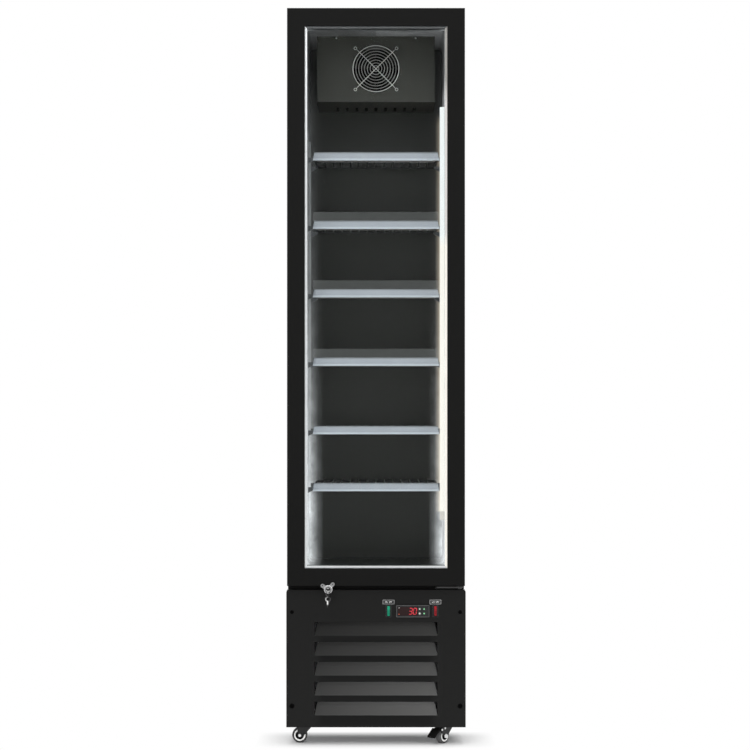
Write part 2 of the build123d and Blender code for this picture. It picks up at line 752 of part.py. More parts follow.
# Wire fan guard: rings welded to two crossing spokes that step down to screw eyes on the cover
GUARD_R = GUARD_WIRE / 2
RING_FACE_Y = COVER_Y - GUARD_STAND - GUARD_R
SPOKE_Y = RING_FACE_Y + GUARD_WIRE - GUARD_WELD
EYE_Y = COVER_Y - RUN_GAP - GUARD_R
EYE_SEAT_Y = EYE_Y - GUARD_R - RUN_GAP
EYE_REACH = HALF_FAN_PITCH * math.sqrt(2) - GUARD_EYE_R
with BuildPart() as fan_guard:
    for ring in range(GUARD_RINGS):
        wire_ring((0, RING_FACE_Y, FAN_Z), GUARD_OUTER_R - ring * GUARD_RING_PITCH, GUARD_R)
    for lean in (-1, 1):
        knee = EYE_REACH - GUARD_KNEE
        with BuildLine(mode=Mode.PRIVATE) as spoke:
            FilletPolyline(
                *[
                    (reach * math.sqrt(0.5), y, FAN_Z + lean * reach * math.sqrt(0.5))
                    for reach, y in ((-EYE_REACH, EYE_Y), (-knee, SPOKE_Y), (knee, SPOKE_Y), (EYE_REACH, EYE_Y))
                ],
                radius=GUARD_BEND,
            )
        round_rod(spoke.wire(), GUARD_R)
    for right in (-1, 1):
        for up in (-1, 1):
            wire_ring((right * HALF_FAN_PITCH, EYE_Y, FAN_Z + up * HALF_FAN_PITCH), GUARD_EYE_R, GUARD_R)
write_part(fan_guard, "fan_guard")

# Chassis: folded tray with the front posts that carry the base panel
PANEL_BACK_Y = PANEL_Y + SHEET
TRAY_X = INSIDE_X - RUN_GAP
TRAY_TOP = CASTER_H + TRAY_T
TRAY_BACK_Y = BACK_Y - SHEET

with BuildPart() as base_chassis:
    block((-TRAY_X, TRAY_X), (PANEL_BACK_Y, TRAY_BACK_Y), (CASTER_H, CASTER_H + TRAY_EDGE))
    block(
        (-TRAY_X + TRAY_T, TRAY_X - TRAY_T),
        (PANEL_BACK_Y + TRAY_T, TRAY_BACK_Y - TRAY_T),
        (TRAY_TOP, CASTER_H + TRAY_EDGE),
        Mode.SUBTRACT,
    )
    for side in (-1, 1):
        post_face = sorted((side * TRAY_X, side * (TRAY_X - POST_W)))
        post_side = sorted((side * TRAY_X, side * (TRAY_X - TRAY_T)))
        block(post_face, (PANEL_BACK_Y, PANEL_BACK_Y + TRAY_T), (CASTER_H, BOX_BOTTOM))
        block(post_side, (PANEL_BACK_Y, FACE_Y), (CASTER_H, BOX_BOTTOM))
    with BuildSketch(front_plane(PANEL_BACK_Y)):
        with Locations(
            (PANEL_SCREW_X, PANEL_TOP - PANEL_SCREW_TOP),
            (-PANEL_SCREW_X, PANEL_TOP - PANEL_SCREW_TOP),
            (PANEL_SCREW_X, PANEL_BOTTOM + PANEL_SCREW_FOOT),
            (-PANEL_SCREW_X, PANEL_BOTTOM + PANEL_SCREW_FOOT),
        ):
            Circle(SCREW_HOLE_R)
    extrude(amount=-TRAY_T, mode=Mode.SUBTRACT)
write_part(base_chassis, "base_chassis")

# Base panel: a folded pan with five pressed louvres, each blade bent inwards from its lower edge
CONTROL_Z = PANEL_TOP - CONTROL_DROP
LOCK_Z = DOOR_BOTTOM - LOCK_DROP
CAM_FRONT_Y = DOOR_FRONT_Y + CAM_SET
CAM_SWEEP = CAM_L + CAM_CLEAR
LOUVRE_FEET = [PANEL_BOTTOM + LOUVRE_FOOT + step * LOUVRE_PITCH for step in range(LOUVRE_COUNT)]
SWITCH_XS = (SWITCH_LIGHT_X, SWITCH_POWER_X)
PANEL_SCREWS = [
    (side * PANEL_SCREW_X, level)
    for side in (-1, 1)
    for level in (PANEL_TOP - PANEL_SCREW_TOP, PANEL_BOTTOM + PANEL_SCREW_FOOT)
]

with BuildPart() as front_panel:
    with BuildSketch(front_plane(PANEL_Y)) as panel_outline:
        with Locations((0, (PANEL_TOP + PANEL_BOTTOM) / 2)):
            Rectangle(PANEL_W, PANEL_H)
        chamfer(panel_outline.vertices().group_by(Axis.Y)[-1], PANEL_CORNER)
    extrude(amount=-PANEL_RETURN)
    fillet(front_panel.edges().filter_by(Axis.Z).group_by(Axis.Y)[0], EDGE_R)
    with BuildSketch(front_plane(PANEL_BACK_Y)) as panel_inside:
        with Locations((0, (PANEL_TOP + PANEL_BOTTOM) / 2)):
            Rectangle(PANEL_W - 2 * SHEET, PANEL_H - 2 * SHEET)
        chamfer(panel_inside.vertices().group_by(Axis.Y)[-1], PANEL_CORNER - SHEET / 2)
    extrude(amount=-PANEL_RETURN, mode=Mode.SUBTRACT)
    block(
        (-PANEL_X + SHEET, PANEL_X - SHEET),
        (PANEL_BACK_Y + PANEL_FLANGE, PANEL_Y + PANEL_RETURN),
        (PANEL_BOTTOM, PANEL_TOP),
        Mode.SUBTRACT,
    )
    with BuildSketch(front_plane(PANEL_Y)):
        for louvre_foot in LOUVRE_FEET:
            with Locations((0, louvre_foot)):
                Rectangle(LOUVRE_W, LOUVRE_H, align=(Align.CENTER, Align.MIN))
        with Locations((CONTROLLER_X, CONTROL_Z)):
            Rectangle(CONTROLLER_BODY_W + SLIP, CONTROLLER_BODY_H + SLIP)
        with Locations(*[(switch_x, CONTROL_Z) for switch_x in SWITCH_XS]):
            Rectangle(SWITCH_BODY_W + SLIP, SWITCH_BODY_H + SLIP)
        with Locations(*PANEL_SCREWS):
            Circle(SCREW_HOLE_R)
        with Locations((LOCK_X, PANEL_TOP)):
            Rectangle(2 * CAM_W, 2 * CAM_W, mode=Mode.ADD)
    extrude(amount=-SHEET, mode=Mode.SUBTRACT)
    block(
        (LOCK_X - CAM_SWEEP, LOCK_X + CAM_SWEEP),
        (PANEL_BACK_Y, CAM_FRONT_Y + CAM_T + CAM_CLEAR),
        (PANEL_TOP - 2 * SHEET, PANEL_TOP),
        Mode.SUBTRACT,
    )
    slope = Vector(0, LOUVRE_LEAN, LOUVRE_H - SHEET)
    blade_l = slope.length
    for louvre_foot in LOUVRE_FEET:
        blade_plane = Plane(
            origin=(0, PANEL_Y, louvre_foot),
            x_dir=(1, 0, 0),
            z_dir=Vector(1, 0, 0).cross(slope),
        )
        with BuildSketch(blade_plane) as blade_outline:
            Polygon(
                (-LOUVRE_W / 2, 0),
                (LOUVRE_W / 2, 0),
                (LOUVRE_W / 2 - LOUVRE_TAPER, blade_l),
                (LOUVRE_TAPER - LOUVRE_W / 2, blade_l),
                align=None,
            )
            fillet(blade_outline.vertices().group_by(Axis.Y)[-1], LOUVRE_ROUND)
        extrude(amount=-SHEET)
write_part(front_panel, "front_panel")

# Rear grille of the machine bay
with BuildPart() as rear_grille:
    block((-INSIDE_X, INSIDE_X), (BACK_Y - SHEET, BACK_Y), (CASTER_H, BOX_BOTTOM))
    with BuildSketch(front_plane(BACK_Y - SHEET)):
        with Locations((0, CASTER_H + MACHINE_BAY_H / 2 + GRILLE_PITCH / 2)):
            with GridLocations(GRILLE_SLOT_W + GRILLE_PITCH, GRILLE_PITCH, 2, GRILLE_ROWS):
                SlotOverall(GRILLE_SLOT_W, GRILLE_SLOT_H)
        with Locations((GLAND_X, CASTER_H + GLAND_FOOT)):
            Circle(GLAND_R)
    extrude(amount=-SHEET, mode=Mode.SUBTRACT)
write_part(rear_grille, "rear_grille")

# Bush in the rear grille for the supply lead
with BuildPart() as cord_gland:
    with BuildSketch(front_plane(BACK_Y)):
        with Locations((GLAND_X, CASTER_H + GLAND_FOOT)):
            Circle(GLAND_R)
    extrude(amount=2 * SHEET)
    with BuildSketch(front_plane(BACK_Y - SHEET)):
        with Locations((GLAND_X, CASTER_H + GLAND_FOOT)):
            Circle(GLAND_R + 2 * SHEET)
    extrude(amount=2 * SHEET)
    with BuildSketch(front_plane(BACK_Y)):
        with Locations((GLAND_X, CASTER_H + GLAND_FOOT)):
            Circle(GLAND_BORE_R)
    extrude(amount=GLAND_R, mode=Mode.SUBTRACT)
write_part(cord_gland, "cord_gland")

# Condenser behind the louvres, then its fan shroud, motor and blades
CONDENSER_Y = PANEL_BACK_Y + CONDENSER_GAP
CONDENSER_BACK_Y = CONDENSER_Y + CONDENSER_D
SHROUD_BACK_Y = CONDENSER_BACK_Y + SHROUD_D
COOLING_Z = TRAY_TOP + CONDENSER_H / 2
with BuildPart() as condenser_coil:
    finned_coil(
        (-CONDENSER_W / 2, CONDENSER_W / 2),
        (CONDENSER_Y, CONDENSER_BACK_Y),
        (TRAY_TOP, TRAY_TOP + CONDENSER_H),
        CONDENSER_FINS,
        CONDENSER_ROWS,
    )
write_part(condenser_coil, "condenser_coil")

with BuildPart() as condenser_fan_shroud:
    block(
        (-CONDENSER_W / 2, CONDENSER_W / 2),
        (CONDENSER_BACK_Y, SHROUD_BACK_Y),
        (TRAY_TOP, TRAY_TOP + CONDENSER_H),
    )
    block(
        (-CONDENSER_W / 2 + SHEET, CONDENSER_W / 2 - SHEET),
        (CONDENSER_BACK_Y, SHROUD_BACK_Y - SHEET),
        (TRAY_TOP + SHEET, TRAY_TOP + CONDENSER_H - SHEET),
        Mode.SUBTRACT,
    )
    with BuildSketch(front_plane(SHROUD_BACK_Y)):
        with Locations((0, COOLING_Z)):
            Circle(SHROUD_HOLE_R)
    extrude(amount=SHEET, mode=Mode.SUBTRACT)
write_part(condenser_fan_shroud, "condenser_fan_shroud")

COOLING_FRONT_Y = SHROUD_BACK_Y - COOLING_HUB_T / 2
COOLING_MOTOR_Y = COOLING_FRONT_Y + COOLING_HUB_T + RUN_GAP
condenser_fan_blade = fan_rotor(
    COOLING_FRONT_Y, COOLING_HUB_T, COOLING_HUB_R, COOLING_BLADE_R, FAN_SHAFT_R, COOLING_BLADES, COOLING_Z
)
write_part(condenser_fan_blade, "condenser_fan_blade")

condenser_fan_motor = fan_motor(
    COOLING_MOTOR_Y,
    0.7 * COOLING_HUB_T,
    COOLING_MOTOR_R,
    COOLING_MOTOR_L,
    FAN_SHAFT_R,
    SHROUD_HOLE_R + FAN_STRAP_W,
    SHROUD_BACK_Y,
    COOLING_Z,
)
write_part(condenser_fan_motor, "condenser_fan_motor")

# Hermetic compressor: domed can on a foot plate
COMPRESSOR_Y = BACK_Y - COMPRESSOR_BACK
CAN_FOOT = TRAY_TOP + COMPRESSOR_FOOT_H
CAN_TOP = CAN_FOOT + COMPRESSOR_H
STUB_TOP = CAN_TOP + 2 * LINE_R
DISCHARGE_X = COMPRESSOR_X + COMPRESSOR_R / 2
SUCTION_X = COMPRESSOR_X - COMPRESSOR_R / 2
with BuildPart() as compressor:
    with BuildSketch(Plane(origin=(COMPRESSOR_X, COMPRESSOR_Y, 0), x_dir=(1, 0, 0), z_dir=(0, -1, 0))):
        with BuildLine():
            dome_foot = (COMPRESSOR_R, CAN_TOP - COMPRESSOR_R / 2)
            dome_r = 1.25 * COMPRESSOR_R
            dome_mid = dome_r * math.sin(math.asin(COMPRESSOR_R / dome_r) / 2)
            seam = CAN_FOOT + 0.55 * COMPRESSOR_H
            Polyline(
                (0, CAN_TOP),
                (0, CAN_FOOT),
                (COMPRESSOR_R * 0.7, CAN_FOOT),
                (COMPRESSOR_R, CAN_FOOT + COMPRESSOR_R * 0.3),
                (COMPRESSOR_R, seam),
                (COMPRESSOR_R + COMPRESSOR_SEAM, seam),
                (COMPRESSOR_R + COMPRESSOR_SEAM, seam + COMPRESSOR_SEAM),
                (COMPRESSOR_R, seam + COMPRESSOR_SEAM),
                dome_foot,
            )
            ThreePointArc(
                dome_foot, (dome_mid, CAN_TOP - dome_r + math.sqrt(dome_r**2 - dome_mid**2)), (0, CAN_TOP)
            )
        make_face()
    revolve(axis=Axis((COMPRESSOR_X, COMPRESSOR_Y, 0), (0, 0, 1)))
    with BuildSketch(Plane.XY.offset(CAN_FOOT - 2 * SHEET)):
        with Locations((COMPRESSOR_X, COMPRESSOR_Y)):
            RectangleRounded(COMPRESSOR_FOOT_W, COMPRESSOR_FOOT_D, COMPRESSOR_FOOT_H)
    extrude(amount=2 * SHEET)
    with BuildSketch(Plane.XY.offset(TRAY_TOP)):
        with Locations((COMPRESSOR_X, COMPRESSOR_Y)):
            with GridLocations(
                COMPRESSOR_FOOT_W - 2 * COMPRESSOR_FOOT_H, COMPRESSOR_FOOT_D - 2 * COMPRESSOR_FOOT_H, 2, 2
            ):
                Circle(COMPRESSOR_FOOT_H / 2)
    extrude(amount=COMPRESSOR_FOOT_H)
    with BuildSketch(Plane.XY.offset(CAN_TOP - COMPRESSOR_R / 4)):
        with Locations((DISCHARGE_X, COMPRESSOR_Y), (SUCTION_X, COMPRESSOR_Y)):
            Circle(LINE_R + SHEET)
    extrude(amount=STUB_TOP - CAN_TOP + COMPRESSOR_R / 4)
write_part(compressor, "compressor")

# Copper lines: discharge to the condenser, liquid through the drier, suction from the box above
LINE_BEND = 3 * LINE_R
LINE_TOP = max(CAN_TOP, TRAY_TOP + CONDENSER_H) + 6 * LINE_R
COIL_END_X = CONDENSER_W / 2 + COIL_STUB
COIL_MID_Y = (CONDENSER_Y + CONDENSER_BACK_Y) / 2
COIL_ROW = CONDENSER_H / CONDENSER_ROWS
COIL_IN_Z = TRAY_TOP + CONDENSER_H - 0.5 * COIL_ROW
COIL_OUT_Z = TRAY_TOP + 0.5 * COIL_ROW
LINE_X = COIL_END_X + LINE_BEND + LINE_R


def copper_line(points):
    """A tube along straight runs joined by round bends, added to the piece in hand."""
    with BuildLine(mode=Mode.PRIVATE) as route:
        FilletPolyline(*points, radius=LINE_BEND)
    round_rod(route.wire(), LINE_R)


with BuildPart() as refrigerant_lines:
    copper_line(
        [
            (DISCHARGE_X, COMPRESSOR_Y, STUB_TOP),
            (DISCHARGE_X, COMPRESSOR_Y, LINE_TOP),
            (LINE_X, COMPRESSOR_Y, LINE_TOP),
            (LINE_X, COIL_MID_Y, LINE_TOP),
            (LINE_X, COIL_MID_Y, COIL_IN_Z),
            (COIL_END_X, COIL_MID_Y, COIL_IN_Z),
        ]
    )
    copper_line(
        [
            (SUCTION_X, COMPRESSOR_Y, STUB_TOP),
            (SUCTION_X, COMPRESSOR_Y, LINE_TOP),
            (SUCTION_X, BACK_Y - BACK_WALL / 2, LINE_TOP),
            (SUCTION_X, BACK_Y - BACK_WALL / 2, BOX_BOTTOM),
        ]
    )
    copper_line(
        [
            (-COIL_END_X, COIL_MID_Y, COIL_OUT_Z),
            (-LINE_X, COIL_MID_Y, COIL_OUT_Z),
            (-LINE_X, COMPRESSOR_Y, COIL_OUT_Z),
            (-LINE_X, COMPRESSOR_Y, BOX_BOTTOM),
        ]
    )
    with BuildSketch(Plane.XY.offset(COIL_IN_Z - DRIER_L)):
        with Locations((-LINE_X, COMPRESSOR_Y)):
            Circle(DRIER_R)
    extrude(amount=DRIER_L)
write_part(refrigerant_lines, "refrigerant_lines")

# Digital controller: bezel over the panel, body through it, four button wells
CONTROLLER_FACE_Y = PANEL_Y - CONTROLLER_PROUD
BUTTON_FACE_Y = CONTROLLER_FACE_Y + CONTROLLER_RECESS - BUTTON_PROUD
BUTTON_WELL = BUTTON_T - BUTTON_PROUD + BUTTON_TRAVEL + RUN_GAP
BUTTONS = {
    "set": (0, 1),
    "up": (1, 1),
    "defrost": (0, 0),
    "down": (1, 0),
}


def button_place(column, row):
    """The centre of a button in the two by two pad at the right of the controller."""
    pad_x = CONTROLLER_X + BUTTON_X
    return (pad_x + (column - 0.5) * BUTTON_PITCH, CONTROL_Z + (row - 0.5) * BUTTON_PITCH)


with BuildPart() as controller_housing:
    with BuildSketch(front_plane(PANEL_Y)):
        with Locations((CONTROLLER_X, CONTROL_Z)):
            RectangleRounded(CONTROLLER_W, CONTROLLER_H, EDGE_R)
    extrude(amount=CONTROLLER_PROUD)
    fillet(controller_housing.faces().sort_by(Axis.Y)[0].edges(), CONTROLLER_RECESS / 2)
    with BuildSketch(front_plane(CONTROLLER_FACE_Y)):
        with Locations((CONTROLLER_X, CONTROL_Z)):
            RectangleRounded(CONTROLLER_W - 3 * EDGE_R, CONTROLLER_H - 3 * EDGE_R, EDGE_R / 2)
    extrude(amount=-CONTROLLER_RECESS, mode=Mode.SUBTRACT)
    block(
        (CONTROLLER_X - CONTROLLER_BODY_W / 2, CONTROLLER_X + CONTROLLER_BODY_W / 2),
        (PANEL_Y, PANEL_Y + CONTROLLER_BODY_D),
        (CONTROL_Z - CONTROLLER_BODY_H / 2, CONTROL_Z + CONTROLLER_BODY_H / 2),
    )
    with BuildSketch(front_plane(CONTROLLER_FACE_Y + CONTROLLER_RECESS)):
        with Locations(*[button_place(*spot) for spot in BUTTONS.values()]):
            RectangleRounded(BUTTON_SIZE + 2 * RUN_GAP, BUTTON_SIZE + 2 * RUN_GAP, BUTTON_R + RUN_GAP)
    extrude(amount=-BUTTON_WELL, mode=Mode.SUBTRACT)
write_part(controller_housing, "controller_housing")

for button_name, spot in BUTTONS.items():
    with BuildPart() as button:
        with BuildSketch(front_plane(BUTTON_FACE_Y + BUTTON_T)):
            with Locations(button_place(*spot)):
                RectangleRounded(BUTTON_SIZE, BUTTON_SIZE, BUTTON_R)
        extrude(amount=BUTTON_T)
        fillet(button.faces().sort_by(Axis.Y)[0].edges(), BUTTON_PROUD / 2)
    write_part(button, f"button_{button_name}")

# Rocker switches: rim and body through the panel, rocker on a cross pin
ROCKER_AXIS_Y = PANEL_Y - SWITCH_RIM_T - ROCKER_PROUD + ROCKER_T / 2 + ROCKER_CROWN
ROCKER_SWEEP = math.hypot(ROCKER_H / 2, ROCKER_T / 2 + ROCKER_CROWN) + RUN_GAP
with BuildPart() as switch_housings:
    for switch_x in SWITCH_XS:
        with BuildSketch(front_plane(PANEL_Y)):
            with Locations((switch_x, CONTROL_Z)):
                RectangleRounded(SWITCH_W, SWITCH_H, EDGE_R)
        extrude(amount=SWITCH_RIM_T)
        block(
            (switch_x - SWITCH_BODY_W / 2, switch_x + SWITCH_BODY_W / 2),
            (PANEL_Y, PANEL_Y + SWITCH_BODY_D),
            (CONTROL_Z - SWITCH_BODY_H / 2, CONTROL_Z + SWITCH_BODY_H / 2),
        )
        well_back = ROCKER_AXIS_Y + ROCKER_T
        block(
            (switch_x - ROCKER_W / 2 - RUN_GAP, switch_x + ROCKER_W / 2 + RUN_GAP),
            (PANEL_Y - SWITCH_RIM_T, well_back),
            (CONTROL_Z - ROCKER_SWEEP, CONTROL_Z + ROCKER_SWEEP),
            Mode.SUBTRACT,
        )
        with Locations(Location((switch_x, ROCKER_AXIS_Y, CONTROL_Z), (0, 90, 0))):
            Cylinder(ROCKER_PIN_R + FIT, SWITCH_BODY_W - SHEET, mode=Mode.SUBTRACT)
write_part(switch_housings, "switch_housings")

for rocker_name, switch_x in (("light_switch", SWITCH_LIGHT_X), ("power_switch", SWITCH_POWER_X)):
    with BuildPart() as rocker:
        with BuildSketch(side_plane(switch_x - ROCKER_W / 2)):
            front = -ROCKER_T / 2 - ROCKER_CROWN
            dip = front + ROCKER_H / 2 * math.tan(math.radians(ROCKER_TILT))
            with Locations(Location((ROCKER_AXIS_Y, CONTROL_Z, 0), -ROCKER_TILT)):
                Polygon(
                    (front, ROCKER_H / 2),
                    (dip, 0),
                    (front, -ROCKER_H / 2),
                    (front + ROCKER_T / 2, -ROCKER_H / 2),
                    (ROCKER_T / 2, -ROCKER_H / 4),
                    (ROCKER_T / 2, ROCKER_H / 4),
                    (front + ROCKER_T / 2, ROCKER_H / 2),
                    align=None,
                )
        extrude(amount=ROCKER_W)
        with Locations(Location((switch_x, ROCKER_AXIS_Y, CONTROL_Z), (0, 90, 0))):
            Cylinder(ROCKER_PIN_R, SWITCH_BODY_W - 2 * SHEET)
    write_part(rocker, f"{rocker_name}_rocker")

# Door frame: front lip, rebate for the glass, hinge sockets and a pocket over the lock cam
HINGE_X = HALF_W - HINGE_INSET
HINGE_Y = (DOOR_FRONT_Y + DOOR_BACK_Y) / 2
GLASS_W = CABINET_W - 2 * FRAME_W + 2 * GLASS_BITE
GLASS_H = DOOR_H - 2 * FRAME_W + 2 * GLASS_BITE
PANE_Y = DOOR_FRONT_Y + FRAME_LIP
PANE_BACK_Y = PANE_Y + 2 * GLASS_T + GLASS_GAP
NOTCH_DEPTH = DOOR_RISE + HINGE_T / 2
SOCKET_R = HINGE_PIN_R + FIT

with BuildPart() as door_frame:
    with BuildSketch(front_plane(DOOR_FRONT_Y)):
        with Locations((0, DOOR_MID)):
            Rectangle(CABINET_W, DOOR_H)
    extrude(amount=-DOOR_T)
    fillet(door_frame.faces().sort_by(Axis.Y)[0].edges(), EDGE_R)
    with BuildSketch(front_plane(DOOR_FRONT_Y)):
        with Locations((0, DOOR_MID)):
            Rectangle(CABINET_W - 2 * FRAME_W, DOOR_H - 2 * FRAME_W)
    extrude(amount=-DOOR_T, mode=Mode.SUBTRACT)
    with BuildSketch(front_plane(PANE_Y)):
        with Locations((0, DOOR_MID)):
            Rectangle(GLASS_W + 2 * SLIP, GLASS_H + 2 * SLIP)
    extrude(amount=-DOOR_T, mode=Mode.SUBTRACT)
    block(
        (HINGE_X - HINGE_TONGUE_R - HINGE_NOTCH_GAP, HALF_W),
        (DOOR_FRONT_Y + FRAME_LIP, DOOR_BACK_Y),
        (DOOR_TOP - NOTCH_DEPTH, DOOR_TOP),
        Mode.SUBTRACT,
    )
    with BuildSketch(Plane.XY.offset(DOOR_TOP)):
        with Locations((HINGE_X, HINGE_Y)):
            Circle(SOCKET_R)
    extrude(amount=-(NOTCH_DEPTH + HINGE_PIN_L + SLIP), mode=Mode.SUBTRACT)
    with BuildSketch(Plane.XY.offset(DOOR_BOTTOM)):
        with Locations((HINGE_X, HINGE_Y)):
            Circle(SOCKET_R)
    extrude(amount=HINGE_PIN_L + SLIP, mode=Mode.SUBTRACT)
    with BuildSketch(front_plane(CAM_FRONT_Y - CAM_POCKET)):
        with Locations((LOCK_X, LOCK_Z)):
            Circle(CAM_SWEEP)
    extrude(amount=-(CAM_T + 2 * CAM_POCKET), mode=Mode.SUBTRACT)
write_part(door_frame, "door_frame")

# Inner frame that holds the glass from behind and carries the seal
SIGHT_W = CABINET_W - 2 * FRAME_W - 2 * SPACER_SHOW
SIGHT_H = DOOR_H - 2 * FRAME_W - 2 * SPACER_SHOW
with BuildPart() as door_inner_frame:
    with BuildSketch(front_plane(PANE_BACK_Y)):
        with Locations((0, DOOR_MID)):
            Rectangle(GLASS_W, GLASS_H)
            Rectangle(SIGHT_W, SIGHT_H, mode=Mode.SUBTRACT)
    extrude(amount=-(DOOR_BACK_Y - PANE_BACK_Y))
    chamfer(
        door_inner_frame.faces().sort_by(Axis.Y)[-1].inner_wires()[0].edges(),
        (DOOR_BACK_Y - PANE_BACK_Y) / 3,
    )
write_part(door_inner_frame, "door_inner_frame")

# Insulating glass: two panes with an aluminium spacer between them
with BuildPart() as door_glass:
    for pane_front in (PANE_Y, PANE_Y + GLASS_T + GLASS_GAP):
        with BuildSketch(front_plane(pane_front)):
            with Locations((0, DOOR_MID)):
                Rectangle(GLASS_W, GLASS_H)
        extrude(amount=-GLASS_T)
write_part(door_glass, "door_glass")

with BuildPart() as glass_spacer:
    with BuildSketch(front_plane(PANE_Y + GLASS_T)):
        with Locations((0, DOOR_MID)):
            Rectangle(GLASS_W - 2 * SPACER_INSET, GLASS_H - 2 * SPACER_INSET)
            Rectangle(SIGHT_W, SIGHT_H, mode=Mode.SUBTRACT)
    extrude(amount=-GLASS_GAP)
write_part(glass_spacer, "glass_spacer")

# Magnetic seal: foot, narrow bellows and head, stopping just short of the cabinet face
SEAL_OUT_W = CABINET_W - 2 * SEAL_INSET
SEAL_OUT_H = DOOR_H - 2 * SEAL_INSET
SEAL_T = SEAL_GAP - RUN_GAP
with BuildPart() as door_gasket:
    seal_y = DOOR_BACK_Y
    for share, waist in ((0.3, 0.0), (0.35, SEAL_W / 4), (0.35, 0.0)):
        with BuildSketch(front_plane(seal_y)):
            with Locations((0, DOOR_MID)):
                Rectangle(SEAL_OUT_W - 2 * waist, SEAL_OUT_H - 2 * waist)
                Rectangle(
                    SEAL_OUT_W - 2 * SEAL_W + 2 * waist,
                    SEAL_OUT_H - 2 * SEAL_W + 2 * waist,
                    mode=Mode.SUBTRACT,
                )
        extrude(amount=-share * SEAL_T)
        seal_y += share * SEAL_T
write_part(door_gasket, "door_gasket")

# Hinges: a tongue on the roof and a leaf under the door, each with its pin
with BuildPart() as top_hinge_bracket:
    with BuildSketch(Plane.XY.offset(CABINET_TOP)) as tongue_plan:
        with Locations((HINGE_X, HINGE_Y)):
            Circle(HINGE_TONGUE_R)
        with Locations((HINGE_X, (HINGE_Y + FACE_Y + HINGE_SEAT_D) / 2)):
            Rectangle(2 * HINGE_TONGUE_R, FACE_Y + HINGE_SEAT_D - HINGE_Y)
        with Locations((HALF_W - EDGE_R, FACE_Y + HINGE_SEAT_D)):
            Rectangle(
                HINGE_LEAF_W,
                HINGE_SEAT_D - SLIP,
                align=(Align.MAX, Align.MAX),
            )
    extrude(amount=HINGE_T)
    with BuildSketch(Plane.XY.offset(CABINET_TOP)):
        with Locations((HINGE_X, HINGE_Y)):
            Circle(HINGE_PIN_R)
    extrude(amount=-HINGE_PIN_L)
write_part(top_hinge_bracket, "top_hinge_bracket")

LEAF_TOP = DOOR_BOTTOM - HINGE_LEAF_T + SLIP
LEAF_X = (HALF_W - FRAME_LIP - HINGE_LEAF_W, HALF_W - FRAME_LIP)
with BuildPart() as bottom_hinge_bracket:
    block(LEAF_X, (FACE_Y - HINGE_LEAF_REACH, FACE_Y), (LEAF_TOP - HINGE_LEAF_T, LEAF_TOP))
    fillet(bottom_hinge_bracket.edges().filter_by(Axis.Z).group_by(Axis.Y)[0], FRAME_LIP)
    block(LEAF_X, (FACE_Y - HINGE_LEAF_T, FACE_Y), (RAIL_BOTTOM, LEAF_TOP))
    with BuildSketch(Plane.XY.offset(LEAF_TOP)):
        with Locations((HINGE_X, HINGE_Y)):
            Circle(HINGE_PIN_R)
    extrude(amount=HINGE_PIN_L)
    with BuildSketch(Plane.XY.offset(LEAF_TOP)):
        with Locations((HINGE_X, HINGE_Y)):
            Circle(HINGE_PIN_R + HINGE_LEAF_T)
    extrude(amount=DOOR_BOTTOM - LEAF_TOP - RUN_GAP)
    with BuildSketch(Plane.XY.offset(LEAF_TOP - HINGE_LEAF_T)):
        with Locations((HINGE_X, HINGE_Y)):
            RegularPolygon(HINGE_PIN_R + HINGE_NUT, 6)
    extrude(amount=-HINGE_LEAF_T)
write_part(bottom_hinge_bracket, "bottom_hinge_bracket")

# Lock: barrel with two screw ears on the door, turning plug with cam and key, spare key on a ring
with BuildPart() as lock_body:
    with BuildSketch(front_plane(DOOR_FRONT_Y)):
        with Locations((LOCK_X, LOCK_Z)):
            Circle(LOCK_BEZEL_R)
    extrude(amount=LOCK_PROUD)
    fillet(lock_body.edges().filter_by(GeomType.CIRCLE).group_by(Axis.Y)[0], LOCK_EDGE_R)
    with BuildSketch(front_plane(DOOR_FRONT_Y)):
        for side in (-1, 1):
            turn = 90 + LOCK_LEAN + side * LOCK_EAR_SPREAD
            across = math.cos(math.radians(turn)) * LOCK_EAR_REACH
            rise = math.sin(math.radians(turn)) * LOCK_EAR_REACH
            with Locations((LOCK_X + across / 2, LOCK_Z + rise / 2)):
                SlotCenterToCenter(LOCK_EAR_REACH, 2 * LOCK_EAR_R, rotation=turn)
            with Locations((LOCK_X + across, LOCK_Z + rise)):
                Circle(LOCK_EAR_HOLE_R, mode=Mode.SUBTRACT)
    extrude(amount=LOCK_PLATE_T)
    with BuildSketch(front_plane(DOOR_FRONT_Y)):
        with Locations((LOCK_X, LOCK_Z)):
            Circle(LOCK_BARREL_R)
    extrude(amount=-LOCK_BARREL_L)
    with BuildSketch(front_plane(DOOR_FRONT_Y + LOCK_BARREL_L)):
        with Locations((LOCK_X, LOCK_Z)):
            Circle(PLUG_R + FIT)
    extrude(amount=LOCK_BARREL_L + LOCK_PROUD, mode=Mode.SUBTRACT)
write_part(lock_body, "lock_body")

